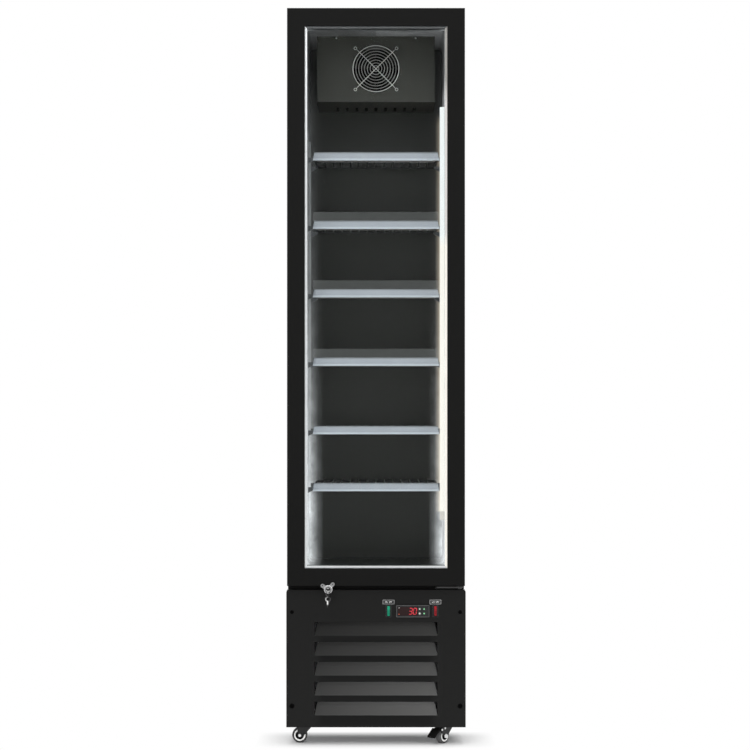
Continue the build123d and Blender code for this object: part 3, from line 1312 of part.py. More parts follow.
KEY_NECK = KEY_REACH - 2 * KEY_BOW_R + KEY_SHOULDER
with BuildPart() as lock_cylinder:
    with BuildSketch(front_plane(LOCK_FACE_Y + SLIP)):
        with Locations((LOCK_X, LOCK_Z)):
            Circle(PLUG_R)
    extrude(amount=-(LOCK_PROUD + LOCK_BARREL_L))
    with BuildSketch(front_plane(LOCK_FACE_Y + SLIP + LOCK_PROUD + LOCK_BARREL_L)):
        with Locations((LOCK_X, LOCK_Z)):
            Circle(TAIL_R)
    extrude(amount=-(CAM_FRONT_Y + CAM_T - (LOCK_FACE_Y + SLIP + LOCK_PROUD + LOCK_BARREL_L)))
    with BuildSketch(front_plane(CAM_FRONT_Y)):
        with Locations((LOCK_X, LOCK_Z)):
            Circle(CAM_W / 2)
        with Locations((LOCK_X, LOCK_Z)):
            Rectangle(CAM_W, CAM_L, align=(Align.CENTER, Align.MIN))
    extrude(amount=-CAM_T)
    block(
        (LOCK_X - KEY_T / 2, LOCK_X + KEY_T / 2),
        (LOCK_FACE_Y - KEY_NECK, LOCK_FACE_Y + KEY_DEPTH),
        (LOCK_Z - KEY_BLADE_H / 2, LOCK_Z + KEY_BLADE_H / 2),
    )
    with BuildSketch(side_plane(LOCK_X)):
        with Locations((LOCK_FACE_Y - KEY_REACH + KEY_BOW_R, LOCK_Z)):
            Circle(KEY_BOW_R)
    extrude(amount=KEY_T / 2, both=True)
    with BuildSketch(side_plane(LOCK_X)):
        with Locations((LOCK_FACE_Y - KEY_REACH + KEY_BOW_R, LOCK_Z - KEY_BOW_R / 2)):
            Circle(KEY_HOLE_R)
    extrude(amount=KEY_T, both=True, mode=Mode.SUBTRACT)
write_part(lock_cylinder, "lock_cylinder")

RING_Y = LOCK_FACE_Y - KEY_REACH + KEY_BOW_R
RING_Z = LOCK_Z - KEY_BOW_R / 2 - KEY_HOLE_R + RING_WIRE_R + RUN_GAP - RING_R
SPARE_TOP = RING_Z - RING_R - RING_WIRE_R
with BuildPart() as spare_key:
    with BuildSketch(Plane(origin=(LOCK_X, RING_Y, RING_Z), x_dir=(1, 0, 0), z_dir=(0, 0, 1))):
        with Locations((RING_R, 0)):
            Circle(RING_WIRE_R)
    revolve(axis=Axis((LOCK_X, RING_Y, RING_Z), (0, 1, 0)))
    with BuildSketch(front_plane(RING_Y + KEY_T / 2)) as spare_outline:
        with Locations((LOCK_X, SPARE_TOP - KEY_BOW_R + RING_WIRE_R)):
            Circle(KEY_BOW_R)
        with Locations((LOCK_X, SPARE_TOP - 2 * KEY_BOW_R + KEY_SHOULDER)):
            Rectangle(KEY_BLADE_H, KEY_BLADE_L, align=(Align.CENTER, Align.MAX))
        chamfer(spare_outline.vertices().group_by(Axis.Y)[0], KEY_BLADE_H / 3)
        with Locations((LOCK_X, SPARE_TOP - KEY_BOW_R + RING_WIRE_R)):
            Circle(SPARE_HOLE_R, mode=Mode.SUBTRACT)
        with Locations((LOCK_X + KEY_BLADE_H / 2, SPARE_TOP - 2 * KEY_BOW_R - KEY_BLADE_L / 2)):
            with GridLocations(0, KEY_CUT_PITCH, 1, KEY_CUTS):
                RegularPolygon(KEY_CUT_R, 4, mode=Mode.SUBTRACT)
    extrude(amount=KEY_T)
write_part(spare_key, "spare_key")

# Casters: bolted plates with kingpins, then a fork and a wheel for each
CASTER_YS = {"front": PANEL_Y + CASTER_INSET, "rear": BACK_Y - CASTER_INSET}
CASTER_XS = {"left": -CASTER_X, "right": CASTER_X}
CASTER_SPOTS = {
    f"{end}_{side}": (x, y) for end, y in CASTER_YS.items() for side, x in CASTER_XS.items()
}
CROWN_TOP = CROWN_Z + CROWN_T

with BuildPart() as caster_plates:
    for spot in CASTER_SPOTS.values():
        with BuildSketch(Plane.XY.offset(CASTER_H - PLATE_T)):
            with Locations(spot):
                RectangleRounded(PLATE_W, PLATE_D, CORNER_R)
        extrude(amount=PLATE_T)
        with BuildSketch(Plane.XY.offset(CROWN_TOP + RUN_GAP)):
            with Locations(spot):
                Circle(RACE_R)
        extrude(amount=CASTER_H - CROWN_TOP - RUN_GAP)
        with BuildSketch(Plane.XY.offset(CROWN_Z - RUN_GAP)):
            with Locations(spot):
                Circle(KINGPIN_R)
        extrude(amount=CASTER_H - CROWN_Z)
        with BuildSketch(Plane.XY.offset(CROWN_Z - RUN_GAP)):
            with Locations(spot):
                Circle(KINGPIN_R + RIVET_T)
        extrude(amount=-RIVET_T)
write_part(caster_plates, "caster_plates")

LEG_IN = WHEEL_W / 2 + LEG_GAP
LEG_OUT = LEG_IN + LEG_T


def caster_plane(spot, heading, shift):
    """The wheel's own plane: its x trails behind the kingpin and its y runs up."""
    trail = Vector(math.cos(math.radians(heading)), math.sin(math.radians(heading)), 0)
    return Plane(origin=(*spot, 0), x_dir=trail, z_dir=trail.cross(Vector(0, 0, 1))).offset(shift)


for caster_name, spot in CASTER_SPOTS.items():
    heading = CASTER_HEADINGS[caster_name]
    braked = caster_name == "front_right"
    wheel_plane = caster_plane(spot, heading, 0)
    axle = wheel_plane.z_dir
    hub = wheel_plane.from_local_coords(Vector(CASTER_TRAIL, WHEEL_R, 0))
    with BuildPart() as caster_fork:
        with BuildSketch(Plane.XY.offset(CROWN_Z)):
            with Locations(spot):
                Circle(RACE_R)
            with Locations(Location((*spot, 0), heading)):
                with Locations((-PEDAL_HUB_R, 0)):
                    Rectangle(PEDAL_PIVOT, 2 * LEG_OUT, align=(Align.MIN, Align.CENTER))
        extrude(amount=CROWN_T)
        for leg_shift in (-LEG_OUT, LEG_IN):
            with BuildSketch(caster_plane(spot, heading, leg_shift)):
                with Locations((CASTER_TRAIL, WHEEL_R)):
                    Circle(AXLE_R + LEG_T)
                with Locations(((LEG_FRONT - LEG_BACK) / 2, CROWN_Z)):
                    Rectangle(LEG_FRONT + LEG_BACK, CROWN_T, align=(Align.CENTER, Align.MAX))
                with Locations((PEDAL_PIVOT, PEDAL_Z)):
                    Circle(PEDAL_HUB_R)
                make_hull()
            extrude(amount=LEG_T)
        with BuildSketch(caster_plane(spot, heading, -LEG_OUT)):
            with Locations((CASTER_TRAIL, WHEEL_R)):
                Circle(AXLE_R)
        extrude(amount=2 * LEG_OUT)
        for head_shift in (LEG_OUT, -LEG_OUT - RIVET_T):
            with BuildSketch(caster_plane(spot, heading, head_shift)):
                with Locations((CASTER_TRAIL, WHEEL_R)):
                    Circle(AXLE_HEAD_R)
            extrude(amount=RIVET_T)
        if braked:
            with BuildSketch(caster_plane(spot, heading, -LEG_OUT)):
                with Locations((PEDAL_PIVOT, PEDAL_Z)):
                    Circle(PEDAL_PIN_R)
            extrude(amount=2 * LEG_OUT)
        with BuildSketch(Plane.XY.offset(CROWN_Z)):
            with Locations(spot):
                Circle(KINGPIN_R + FIT)
        extrude(amount=CROWN_T, mode=Mode.SUBTRACT)
    write_part(caster_fork, f"caster_fork_{caster_name}")

    with BuildPart() as caster_wheel:
        with BuildSketch(Plane(origin=hub, x_dir=axle, z_dir=axle.cross(Vector(0, 0, 1)))) as wheel_section:
            with BuildLine():
                Polyline(
                    (-WHEEL_W / 2, AXLE_R + FIT),
                    (WHEEL_W / 2, AXLE_R + FIT),
                    (WHEEL_W / 2, WHEEL_HUB_R),
                    (WHEEL_WEB / 2, WHEEL_HUB_R),
                    (WHEEL_WEB / 2, WHEEL_RIM_R),
                    (WHEEL_W / 2, WHEEL_RIM_R),
                    (WHEEL_W / 2, WHEEL_R - LEG_T),
                    (WHEEL_W / 2 - LEG_T, WHEEL_R),
                    (-WHEEL_W / 2 + LEG_T, WHEEL_R),
                    (-WHEEL_W / 2, WHEEL_R - LEG_T),
                    (-WHEEL_W / 2, WHEEL_RIM_R),
                    (-WHEEL_WEB / 2, WHEEL_RIM_R),
                    (-WHEEL_WEB / 2, WHEEL_HUB_R),
                    (-WHEEL_W / 2, WHEEL_HUB_R),
                    close=True,
                )
            make_face()
        revolve(axis=Axis(hub, axle))
    write_part(caster_wheel, f"caster_wheel_{caster_name}")

    if braked:
        with BuildPart() as brake_pedal:
            with BuildSketch(caster_plane(spot, heading, -LEG_IN + RUN_GAP)):
                with Locations((PEDAL_PIVOT, PEDAL_Z)):
                    Circle(PEDAL_HUB_R)
                with BuildLine():
                    Polyline(
                        (PEDAL_PIVOT, PEDAL_Z + PEDAL_HUB_R),
                        (PEDAL_PIVOT + PEDAL_L / 3, PEDAL_Z + PEDAL_HUB_R),
                        (PEDAL_PIVOT + PEDAL_L, PEDAL_Z + PEDAL_HUB_R - PEDAL_FALL),
                        (PEDAL_PIVOT + PEDAL_L, PEDAL_Z + PEDAL_HUB_R - PEDAL_FALL - PEDAL_T),
                        (PEDAL_PIVOT + PEDAL_L / 4, PEDAL_Z + PEDAL_HUB_R - PEDAL_T),
                        (PEDAL_PIVOT, PEDAL_Z + PEDAL_HUB_R - PEDAL_T),
                        close=True,
                    )
                make_face()
            extrude(amount=2 * (LEG_IN - RUN_GAP))
            with BuildSketch(caster_plane(spot, heading, -PEDAL_W / 2)):
                with BuildLine():
                    Polyline(
                        (PEDAL_PIVOT + PEDAL_L / 3, PEDAL_Z + PEDAL_HUB_R),
                        (PEDAL_PIVOT + PEDAL_L, PEDAL_Z + PEDAL_HUB_R - PEDAL_FALL),
                        (PEDAL_PIVOT + PEDAL_L, PEDAL_Z + PEDAL_HUB_R - PEDAL_FALL - PEDAL_T),
                        (PEDAL_PIVOT + PEDAL_L / 3, PEDAL_Z + PEDAL_HUB_R - PEDAL_T),
                        close=True,
                    )
                make_face()
            extrude(amount=PEDAL_W)
            with BuildSketch(caster_plane(spot, heading, -LEG_OUT)):
                with Locations((PEDAL_PIVOT, PEDAL_Z)):
                    Circle(PEDAL_PIN_R + FIT)
            extrude(amount=2 * LEG_OUT, mode=Mode.SUBTRACT)
        write_part(brake_pedal, "brake_pedal")

# Fasteners: round heads on the panel, cover and guard, flat heads on the hinges, bolts on the casters
with BuildPart() as cabinet_screws:
    with BuildSketch(front_plane(PANEL_Y)):
        with Locations(*PANEL_SCREWS):
            Circle(HEAD_R)
    extrude(amount=HEAD_T, taper=20)
    with BuildSketch(front_plane(PANEL_Y)):
        with Locations(*PANEL_SCREWS):
            Circle(SCREW_SHANK_R)
    extrude(amount=-PANEL_FLANGE / 2)
    with BuildSketch(front_plane(COVER_Y)):
        with Locations(
            (COVER_SCREW_X, LINER_CEILING - COVER_SCREW_DROP),
            (-COVER_SCREW_X, LINER_CEILING - COVER_SCREW_DROP),
        ):
            Circle(SMALL_HEAD_R)
    extrude(amount=SMALL_HEAD_T, taper=20)
    with BuildSketch(front_plane(EYE_SEAT_Y)):
        with Locations((0, FAN_Z)):
            with GridLocations(FAN_SCREW_PITCH, FAN_SCREW_PITCH, 2, 2):
                Circle(SMALL_HEAD_R)
    extrude(amount=SMALL_HEAD_T, taper=20)
    with BuildSketch(Plane.XY.offset(CABINET_TOP + HINGE_T)):
        with Locations((HALF_W - HINGE_LEAF_W / 2, FACE_Y + HINGE_SEAT_D / 2)):
            with GridLocations(HINGE_LEAF_W / 2, HINGE_SEAT_D / 2, 2, 2):
                Circle(SMALL_HEAD_R)
    extrude(amount=DOOR_RISE - HINGE_T)
    with BuildSketch(front_plane(FACE_Y - HINGE_LEAF_T)):
        with Locations(((LEAF_X[0] + LEAF_X[1]) / 2, (RAIL_BOTTOM + PANEL_TOP) / 2)):
            with GridLocations(HINGE_LEAF_W / 2, HINGE_SEAT_D, 2, 1):
                Circle(SMALL_HEAD_R)
    extrude(amount=SMALL_HEAD_T)
    with BuildSketch(Plane.XY.offset(CASTER_H - PLATE_T)):
        for spot in CASTER_SPOTS.values():
            with Locations(spot):
                with GridLocations(PLATE_W - 4 * CORNER_R - 2.0, PLATE_D - 4 * CORNER_R, 2, 2):
                    RegularPolygon(SMALL_HEAD_R, 6)
    extrude(amount=-SMALL_HEAD_T)
write_part(cabinet_screws, "cabinet_screws")
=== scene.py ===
import math

import bpy
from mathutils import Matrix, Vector


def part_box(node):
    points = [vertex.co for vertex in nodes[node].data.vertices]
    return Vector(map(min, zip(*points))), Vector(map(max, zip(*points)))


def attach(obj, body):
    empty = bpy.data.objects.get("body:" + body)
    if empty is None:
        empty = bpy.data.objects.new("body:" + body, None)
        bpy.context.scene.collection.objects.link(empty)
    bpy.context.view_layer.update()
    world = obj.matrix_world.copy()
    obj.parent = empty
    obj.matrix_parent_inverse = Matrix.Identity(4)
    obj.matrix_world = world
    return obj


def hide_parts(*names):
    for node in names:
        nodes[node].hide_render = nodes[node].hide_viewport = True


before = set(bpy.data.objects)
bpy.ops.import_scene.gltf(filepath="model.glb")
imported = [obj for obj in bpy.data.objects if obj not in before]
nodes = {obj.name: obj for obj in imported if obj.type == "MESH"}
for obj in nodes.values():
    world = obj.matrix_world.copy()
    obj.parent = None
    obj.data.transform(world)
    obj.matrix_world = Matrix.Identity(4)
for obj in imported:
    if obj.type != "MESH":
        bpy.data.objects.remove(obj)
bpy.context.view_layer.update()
MM = 0.001

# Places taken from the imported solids
DOOR_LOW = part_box("door_frame")[0]
PANEL_LOW, PANEL_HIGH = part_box("front_panel")
COVER_LOW, COVER_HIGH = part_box("evaporator_cover")
CONTROL_LOW, CONTROL_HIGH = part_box("controller_housing")
LENS_LOW, LENS_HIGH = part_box("lamp_lens")
LINER_LOW, LINER_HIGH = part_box("inner_liner")
LOCK_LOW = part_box("lock_body")[0]
PLUG_LOW, PLUG_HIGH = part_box("lock_cylinder")
SPACER_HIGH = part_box("glass_spacer")[1]
FAN_LOW, FAN_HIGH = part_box("fan_guard")
FAN_MIDDLE = (FAN_LOW + FAN_HIGH) / 2
CEILING_Z = LINER_HIGH.z - 22.0 * MM
BAY_HALF = 175.0 * MM

# Bands of the spacer and of the door's opening that take their own finish (painted shade on the spacer's
# top, painted lamp light on its lamp side, frosting with painted light on the opening's reveal), and the fan
# guard's wires, whose spokes take a painted highlight
SPACER_TOP_BAND = 12.0 * MM
SPACER_SIDE_BAND = 8.0 * MM
REVEAL_SIDE = 4.0 * MM
REVEAL_TOP = 60.0 * MM
GUARD_RING_R = 57.0 * MM
GUARD_WIRE_R = 1.5 * MM
SPOKE_HALF = 1.6 * MM

# Lock and its hanging key
LOCK_X = (PLUG_LOW.x + PLUG_HIGH.x) / 2
LOCK_Z = LOCK_LOW.z + 10.5 * MM
LOCK_FACE_T = 0.5 * MM
PLUG_R = 5.5 * MM
BEZEL_R = 9.5 * MM
EAR_R = 11.0 * MM
KEY_HALF = 3.0 * MM

# Reach of the frosting and its painted light, of the lamp's light, real on the lamp and painted on the
# walls, and the painted shading of the louvres
CORNER_FROST = 36.0 * MM
HALO_H = 60.0 * MM
FROST_HALO_H = 100.0 * MM
LAMP_CAP_H = 24.0 * MM
TUBE_JOINT = 0.69
LOUVRE_HALF_W = 152.0 * MM
LOUVRE_COUNT = 5
LOUVRE_HEAD = 79.7 * MM
LOUVRE_PITCH = (PANEL_HIGH.z - PANEL_LOW.z - 93.5 * MM) / LOUVRE_COUNT

# Shelves: wires, price strips and their inserts
SHELVES = (1, 2, 3, 4, 5, 6)
FENCED = (2, 3, 4)
DECK_WIRE_R = 1.5 * MM
FRAME_WIRE_R = 2.5 * MM
FRAME_CORNER_R = 14.0 * MM
WELD_BITE = 0.8 * MM
DECK_WIRES = 13
TRUSS_R = 1.7 * MM
TRUSS_SETBACK = 26.0 * MM
TRUSS_CORNER_R = 4.0 * MM
STRIP_RISE = 4.0 * MM
STRIP_H = 20.0 * MM
STRIP_T = 5.5 * MM
STRIP_WALL = 1.1 * MM
STRIP_SLANT = 3.5 * MM
STRIP_BEAD_H = 3.0 * MM
STRIP_LIP_H = 4.8 * MM
BEAD_REACH = 3.2 * MM
BEAD_FALL = 2.4 * MM
LIP_REACH = 4.2 * MM
LIP_SLOPE = 0.4 * MM
LIP_RISE = 4.2 * MM
LIP_LEAN = 0.2 * MM
INSERT_SETBACK = 2.6 * MM
INSERT_T = 0.4 * MM
INSERT_RISE = 0.4 * MM
INSERT_GAP = 5.0 * MM
INSERT_CORNER_R = 1.5 * MM
SOFT_EDGE = 0.3 * MM

# Caster wheels, each caster's heading in degrees, and the fork measured from its axle
CASTERS = {"front_left": 180.0, "front_right": 230.0, "rear_left": 150.0, "rear_right": 60.0}
BRAKED = "front_right"
WHEEL_R = 19.0 * MM
WHEEL_W = 15.0 * MM
TYRE_ROUND = 2.4 * MM
TREAD_T = 1.2 * MM
RIM_OUT = 14.4 * MM
RIM_IN = 10.6 * MM
RIM_GROOVE = 0.5 * MM
WEB_DISH = 3.2 * MM
WEB_DRAFT = 0.6 * MM
HUB_DRAFT = 0.3 * MM
HUB_R = 6.4 * MM
AXLE_BORE_R = 3.1 * MM
AXLE_R = 3.0 * MM
AXLE_HEAD_R = 5.2 * MM
CASTER_TRAIL = 15.0 * MM
KING_BORE_R = 4.4 * MM
FORK_HEAD_R = 3.8 * MM
FORK_HALF_W = 10.75 * MM
FORK_TOP = 24.5 * MM
FORK_FRONT = 5.5 * MM
FORK_BACK = 28.0 * MM
FORK_BAND = 5.0 * MM
FORK_EYE_R = 5.5 * MM
FORK_LEG_T = 2.5 * MM
FORK_CROWN_T = 3.5 * MM
FORK_CROWN_EDGE = 0.8 * MM
FORK_RACE_R = 16.0 * MM
RIVET_R = 2.8 * MM
RIVET_T = 2.0 * MM
RIVET_SPOTS = ((15.0 * MM, 17.2 * MM), (3.0 * MM, 19.5 * MM))

# Fasteners with their distances from edges, and the leaves and plates that they hold
PANEL_HEAD_R = 6.0 * MM
PANEL_HEAD_T = 2.5 * MM
PANEL_SCREW_EDGE = 14.0 * MM
PANEL_SCREW_TOP = 55.0 * MM
PANEL_SCREW_FOOT = 52.7 * MM
UPPER_HEAD_R = 4.6 * MM
SMALL_HEAD_R = 3.6 * MM
SMALL_HEAD_T = 2.0 * MM
EYE_HEAD_R = 2.3 * MM
EYE_HEAD_T = 1.4 * MM
CROSS_ARM = 1.25
CROSS_SLOT = 0.26
COVER_SCREW_EDGE = 49.0 * MM
COVER_SCREW_DROP = 4.5 * MM
FAN_SCREWS = 105.0 * MM
GUARD_EYE_SEAT = 2.4 * MM
HINGE_LEAF_W = 66.0 * MM
HINGE_LEAF_T = 3.0 * MM
HINGE_SEAT_D = 58.0 * MM
DOOR_EDGE = 2.0 * MM
PLATE_W = 56.0 * MM
PLATE_D = 46.0 * MM
PLATE_T = 3.0 * MM
PLATE_BOLT_X = 46.0 * MM
PLATE_BOLT_Y = 38.0 * MM

# Display, button marks and name plates
CONTROL_RECESS = 1.2 * MM
CONTROL_RIM = 4.0 * MM
WINDOW_T = 0.35 * MM
WINDOW_CORNER_R = 1.2 * MM
RIM_R = 0.7 * MM
RIM_CORNER_R = 1.5 * MM
DIGITS_W = 21.0 * MM
DIGITS_MARGIN = 3.0 * MM
DIGIT_PITCH = 10.6 * MM
DIGIT_SLANT = 8.0
SEGMENT_L = 6.9 * MM
SEGMENT_W = 1.7 * MM
SEGMENT_T = 0.12 * MM
SEGMENT_STEP = 7.4 * MM
DOT_R = 1.1 * MM
DOT_T = 0.4 * MM
DOT_EDGE = 7.0 * MM
DOT_UP = 8.5 * MM
DOT_DOWN = 7.5 * MM
MARK_R = 2.8 * MM
MARK_T = 0.3 * MM
MARK_SEAT = 0.05 * MM
MARK_EDGE = 0.12 * MM
LABEL_W = 28.6 * MM
LABEL_H = 10.6 * MM
LABEL_EDGE = 0.9 * MM
LABEL_RISE = 10.0 * MM
LABEL_T = 0.35 * MM
LABEL_CORNER_R = 0.4 * MM
FIELD_RISE = 0.5 * MM
FIELD_SEAT = 0.1 * MM
FIELD_CORNER_R = 0.3 * MM
LETTER_H = 4.6 * MM
LETTER_T = 0.2 * MM

# Camera: its distance from the door, its eye height and its offsets in the photograph's pixels
PHOTO_W = 750
PIXEL = 2.461 * MM
SHOT = 5.0
EYE = 0.900
RIGHT_PIXELS = -1.0
UP_PIXELS = 6.7

# Floor shadow, and the lamp tube's light: its distances from the diffuser and its width
SHADOW_Y = -0.095
TUBE_OFF = 4.0 * MM
TUBE_BACK = 60.0 * MM
TUBE_W = 16.0 * MM

# Rays that see the floor and the world as a white backdrop
SEEN_RAYS = ("Is Camera Ray", "Is Glossy Ray", "Is Transmission Ray")

# Turns that make a level shape face the front and a front-facing one face up, and other fixed values
UPRIGHT = (math.radians(90), 0, 0)
FACE_UP = (math.radians(-90), 0, 0)
SIDES = (-1, 1)
NEAR = 0.1 * MM
BLACK = (0.0, 0.0, 0.0)


class Value:
    """A shader value. Working with it in plain arithmetic adds the Math nodes."""

    def __init__(self, finish, socket):
        self.finish = finish
        self.socket = socket

    def math(self, operation, *others):
        inputs = {place: other for place, other in enumerate(others)}
        return self.finish.add("ShaderNodeMath", {"operation": operation}, inputs)

    def __add__(self, other):
        return self.math("ADD", self, other)

    __radd__ = __add__

    def __sub__(self, other):
        return self.math("SUBTRACT", self, other)

    def __rsub__(self, other):
        return self.math("SUBTRACT", other, self)

    def __mul__(self, other):
        return self.math("MULTIPLY", self, other)

    __rmul__ = __mul__

    def __truediv__(self, other):
        return self.math("DIVIDE", self, other)

    def __gt__(self, other):
        return self.math("GREATER_THAN", self, other)

    def size(self):
        return self.math("ABSOLUTE", self)


class Finish:
    """One material: a Principled shader and the nodes that feed it."""

    def __init__(self, name, colour, roughness, **constants):
        self.material = bpy.data.materials.new(name)
        self.material.use_nodes = True
        self.tree = self.material.node_tree
        self.shader = self.tree.nodes["Principled BSDF"]
        self.output = self.tree.nodes["Material Output"]
        self.shader.inputs["Base Color"].default_value = (*colour, 1)
        self.shader.inputs["Roughness"].default_value = roughness
        for socket, value in constants.items():
            self.shader.inputs[socket.replace("_", " ")].default_value = value

    def add(self, kind, settings=None, inputs=None, output=0):
        """Adds a node, sets it up, fills or links its inputs and gives back one of its outputs."""
        node = self.tree.nodes.new(kind)
        for setting, value in (settings or {}).items():
            if setting == "stops":
                ramp = node.color_ramp.elements
                while len(ramp) < len(value):
                    ramp.new(0.5)
                for stop, (place, shade) in zip(ramp, value):
                    stop.position = place
                    stop.color = (shade, shade, shade, 1) if isinstance(shade, float) else (*shade, 1)
            else:
                setattr(node, setting, value)
        for place, value in (inputs or {}).items():
            if isinstance(value, Value):
                self.tree.links.new(value.socket, node.inputs[place])
            else:
                node.inputs[place].default_value = value
        return Value(self, node.outputs[output])

    def place(self):
        return self.add("ShaderNodeTexCoord", output="Object")

    def axis(self, letter):
        return self.add("ShaderNodeSeparateXYZ", None, {0: self.place()}, output=letter)

    def along(self, letter, low, high):
        """How far along an axis a point lies, from the low place at 0 to the high one at 1."""
        return (self.axis(letter) - low) / (high - low)

    def grain(self, scale, detail=3.0, rough=0.55, stretch=(1, 1, 1)):
        spread = self.add("ShaderNodeMapping", None, {"Vector": self.place(), "Scale": stretch})
        settings = {"noise_dimensions": "3D"}
        inputs = {"Vector": spread, "Scale": scale, "Detail": detail, "Roughness": rough}
        return self.add("ShaderNodeTexNoise", settings, inputs)

    def ramp(self, value, *stops):
        return self.add("ShaderNodeValToRGB", {"stops": stops}, {0: value})

    def blend(self, share, first, second):
        first = first if isinstance(first, Value) else (*first, 1)
        second = second if isinstance(second, Value) else (*second, 1)
        settings = {"data_type": "RGBA"}
        return self.add("ShaderNodeMix", settings, {0: share, 6: first, 7: second}, output=2)

    def feed(self, socket, value):
        self.tree.links.new(value.socket, self.shader.inputs[socket])

    def bump(self, height, strength, depth):
        inputs = {"Height": height, "Strength": strength, "Distance": depth}
        self.feed("Normal", self.add("ShaderNodeBump", None, inputs))

    def tint(self, share, first, second):
        self.feed("Base Color", self.blend(share, first, second))

    def shine(self, share, first, second):
        self.feed("Emission Color", self.blend(share, first, second))

    def peel(self):
        """The fine orange peel of baked powder paint."""
        self.bump(self.grain(700.0, 2.0) + self.grain(2200.0, 1.0) * 0.5, 0.10, 0.0004)


def times(colour, factor):
    """A colour made lighter or darker."""
    return tuple(shade * factor for shade in colour)


def powder_coat(name, colour, roughness, **constants):
    """Baked powder paint: fine orange peel, with the gloss drifting a little over the sheet."""
    finish = Finish(name, colour, roughness, **constants)
    finish.feed("Roughness", finish.grain(6.0, 2.0) * 0.10 + (roughness - 0.05))
    finish.tint(finish.grain(2.5, 2.0), times(colour, 0.90), times(colour, 1.12))
    finish.peel()
    return finish.material


def frost_and_painted_light_coat(name, colour, roughness, gain=1.0):
    """Frosted paint whose frosting glows as painted light by the door, in the corners and low down, with the
    lamp's light painted on beside the lamp.
    """
    finish = Finish(name, colour, roughness, Specular_IOR_Level=0.25, Emission_Strength=1.0)
    level = finish.axis("Z")
    lamp_half = finish.axis("X") > 0.0
    depth = finish.along("Y", LINER_LOW.y, LINER_HIGH.y)
    height = finish.along("Z", LINER_LOW.z, LINER_HIGH.z)
    off_side = (BAY_HALF - finish.axis("X").size()) / CORNER_FROST
    ceiling = level > CEILING_Z
    corner = finish.ramp(off_side, (0.0, 1.0), (0.25, 0.55), (0.60, 0.14), (1.0, 0.0))
    cover = ceiling + corner - ceiling * corner
    amount = finish.ramp(height, (0.10, 0.95), (0.30, 0.50), (0.52, 0.22), (0.70, 0.14), (0.95, 0.075))
    held = finish.ramp(height, (0.10, 0.85), (0.50, 0.50), (0.82, 0.45), (0.95, 0.12))
    fade = 1.0 - depth * (1.0 - held)
    patches = finish.ramp(finish.grain(22.0, 5.0, 0.62), (0.34, 0.45), (0.66, 1.0))
    specks = finish.ramp(finish.grain(420.0, 4.0, 0.7), (0.35, 0.80), (0.66, 1.0))
    over_lamp = level - LENS_HIGH.z
    mottle = finish.ramp(finish.grain(60.0, 5.0, 0.7), (0.40, 0.35), (0.60, 1.0)) * lamp_half
    above = finish.ramp(over_lamp / FROST_HALO_H, (0.0, 0.85), (0.55, 0.60), (0.80, 0.20), (1.0, 0.11))
    halo = above * mottle * (over_lamp > 0.0) * finish.ramp(depth, (0.80, 1.0), (0.92, 0.0))
    # The frosting mask, halo included, gives both the pale frosted colour and painted light: an emitted
    # brightness, strongest by the door and fading deeper in.
    frost_and_painted_light = patches * specks * fade * (amount + halo) * cover * gain
    painted_glow = finish.blend(frost_and_painted_light, BLACK, (1.0, 1.02, 1.05))
    # Painted lamp light: a warm emitted patch on the lamp's half, at the back by the side wall, from the
    # lamp's lower end to a little above its upper end.
    back = finish.ramp(depth, (0.90, 0.0), (0.96, 1.0)) * lamp_half
    beside = finish.ramp(off_side, (0.02, 0.30), (0.14, 0.20), (0.21, 0.09), (0.32, 0.04), (0.50, 0.0))
    strength = finish.ramp(height, (0.20, 1.0), (0.55, 0.80), (0.85, 0.50)) * 3.6
    along_lamp = finish.ramp(over_lamp / HALO_H, (0.0, 1.0), (0.4, 0.0)) * (level > LENS_LOW.z)
    painted_lamp_spill = beside * back * strength * along_lamp
    finish.tint(frost_and_painted_light, colour, (0.40, 0.41, 0.42))
    finish.shine(painted_lamp_spill, painted_glow, (1.0, 0.84, 0.64))
    finish.feed("Roughness", frost_and_painted_light * 0.45 + roughness)
    finish.bump(specks * patches + finish.grain(900.0, 2.0) * 0.25, 0.12, 0.0005)
    return finish.material


def panel_drop(finish):
    """How far down the base panel a point lies, from its top at 0 to its foot at 1."""
    return finish.along("Z", PANEL_HIGH.z, PANEL_LOW.z)


def panel_coat(name, shaded, open_coat):
    """Powder paint of the base panel, with painted shade between the louvres, where each blade keeps off the
    light, and painted light towards the panel's foot.
    """
    finish = Finish(name, open_coat, 0.50, Specular_IOR_Level=0.07)
    drop = panel_drop(finish)
    beside = finish.ramp(finish.axis("X").size() / LOUVRE_HALF_W, (0.86, 0.0), (1.0, 1.0))
    above = finish.ramp(drop, (0.30, 1.0), (0.40, 0.0), (0.96, 0.0), (1.0, 0.4))
    free = beside + above - beside * above
    # Painted light: the open paint grows lighter towards the panel's foot.
    lit = finish.blend(finish.ramp(drop, (0.3, 0.0), (1.0, 1.0)), open_coat, times(open_coat, 1.2))
    # Painted shade between the louvres, deepest towards the panel's top.
    painted_shade = finish.blend(finish.ramp(drop, (0.35, 0.0), (0.65, 1.0)), times(shaded, 0.5), shaded)
    finish.tint(free, painted_shade, lit)
    finish.feed("Roughness", finish.grain(6.0, 2.0) * 0.10 + 0.45)
    finish.peel()
    return finish.material


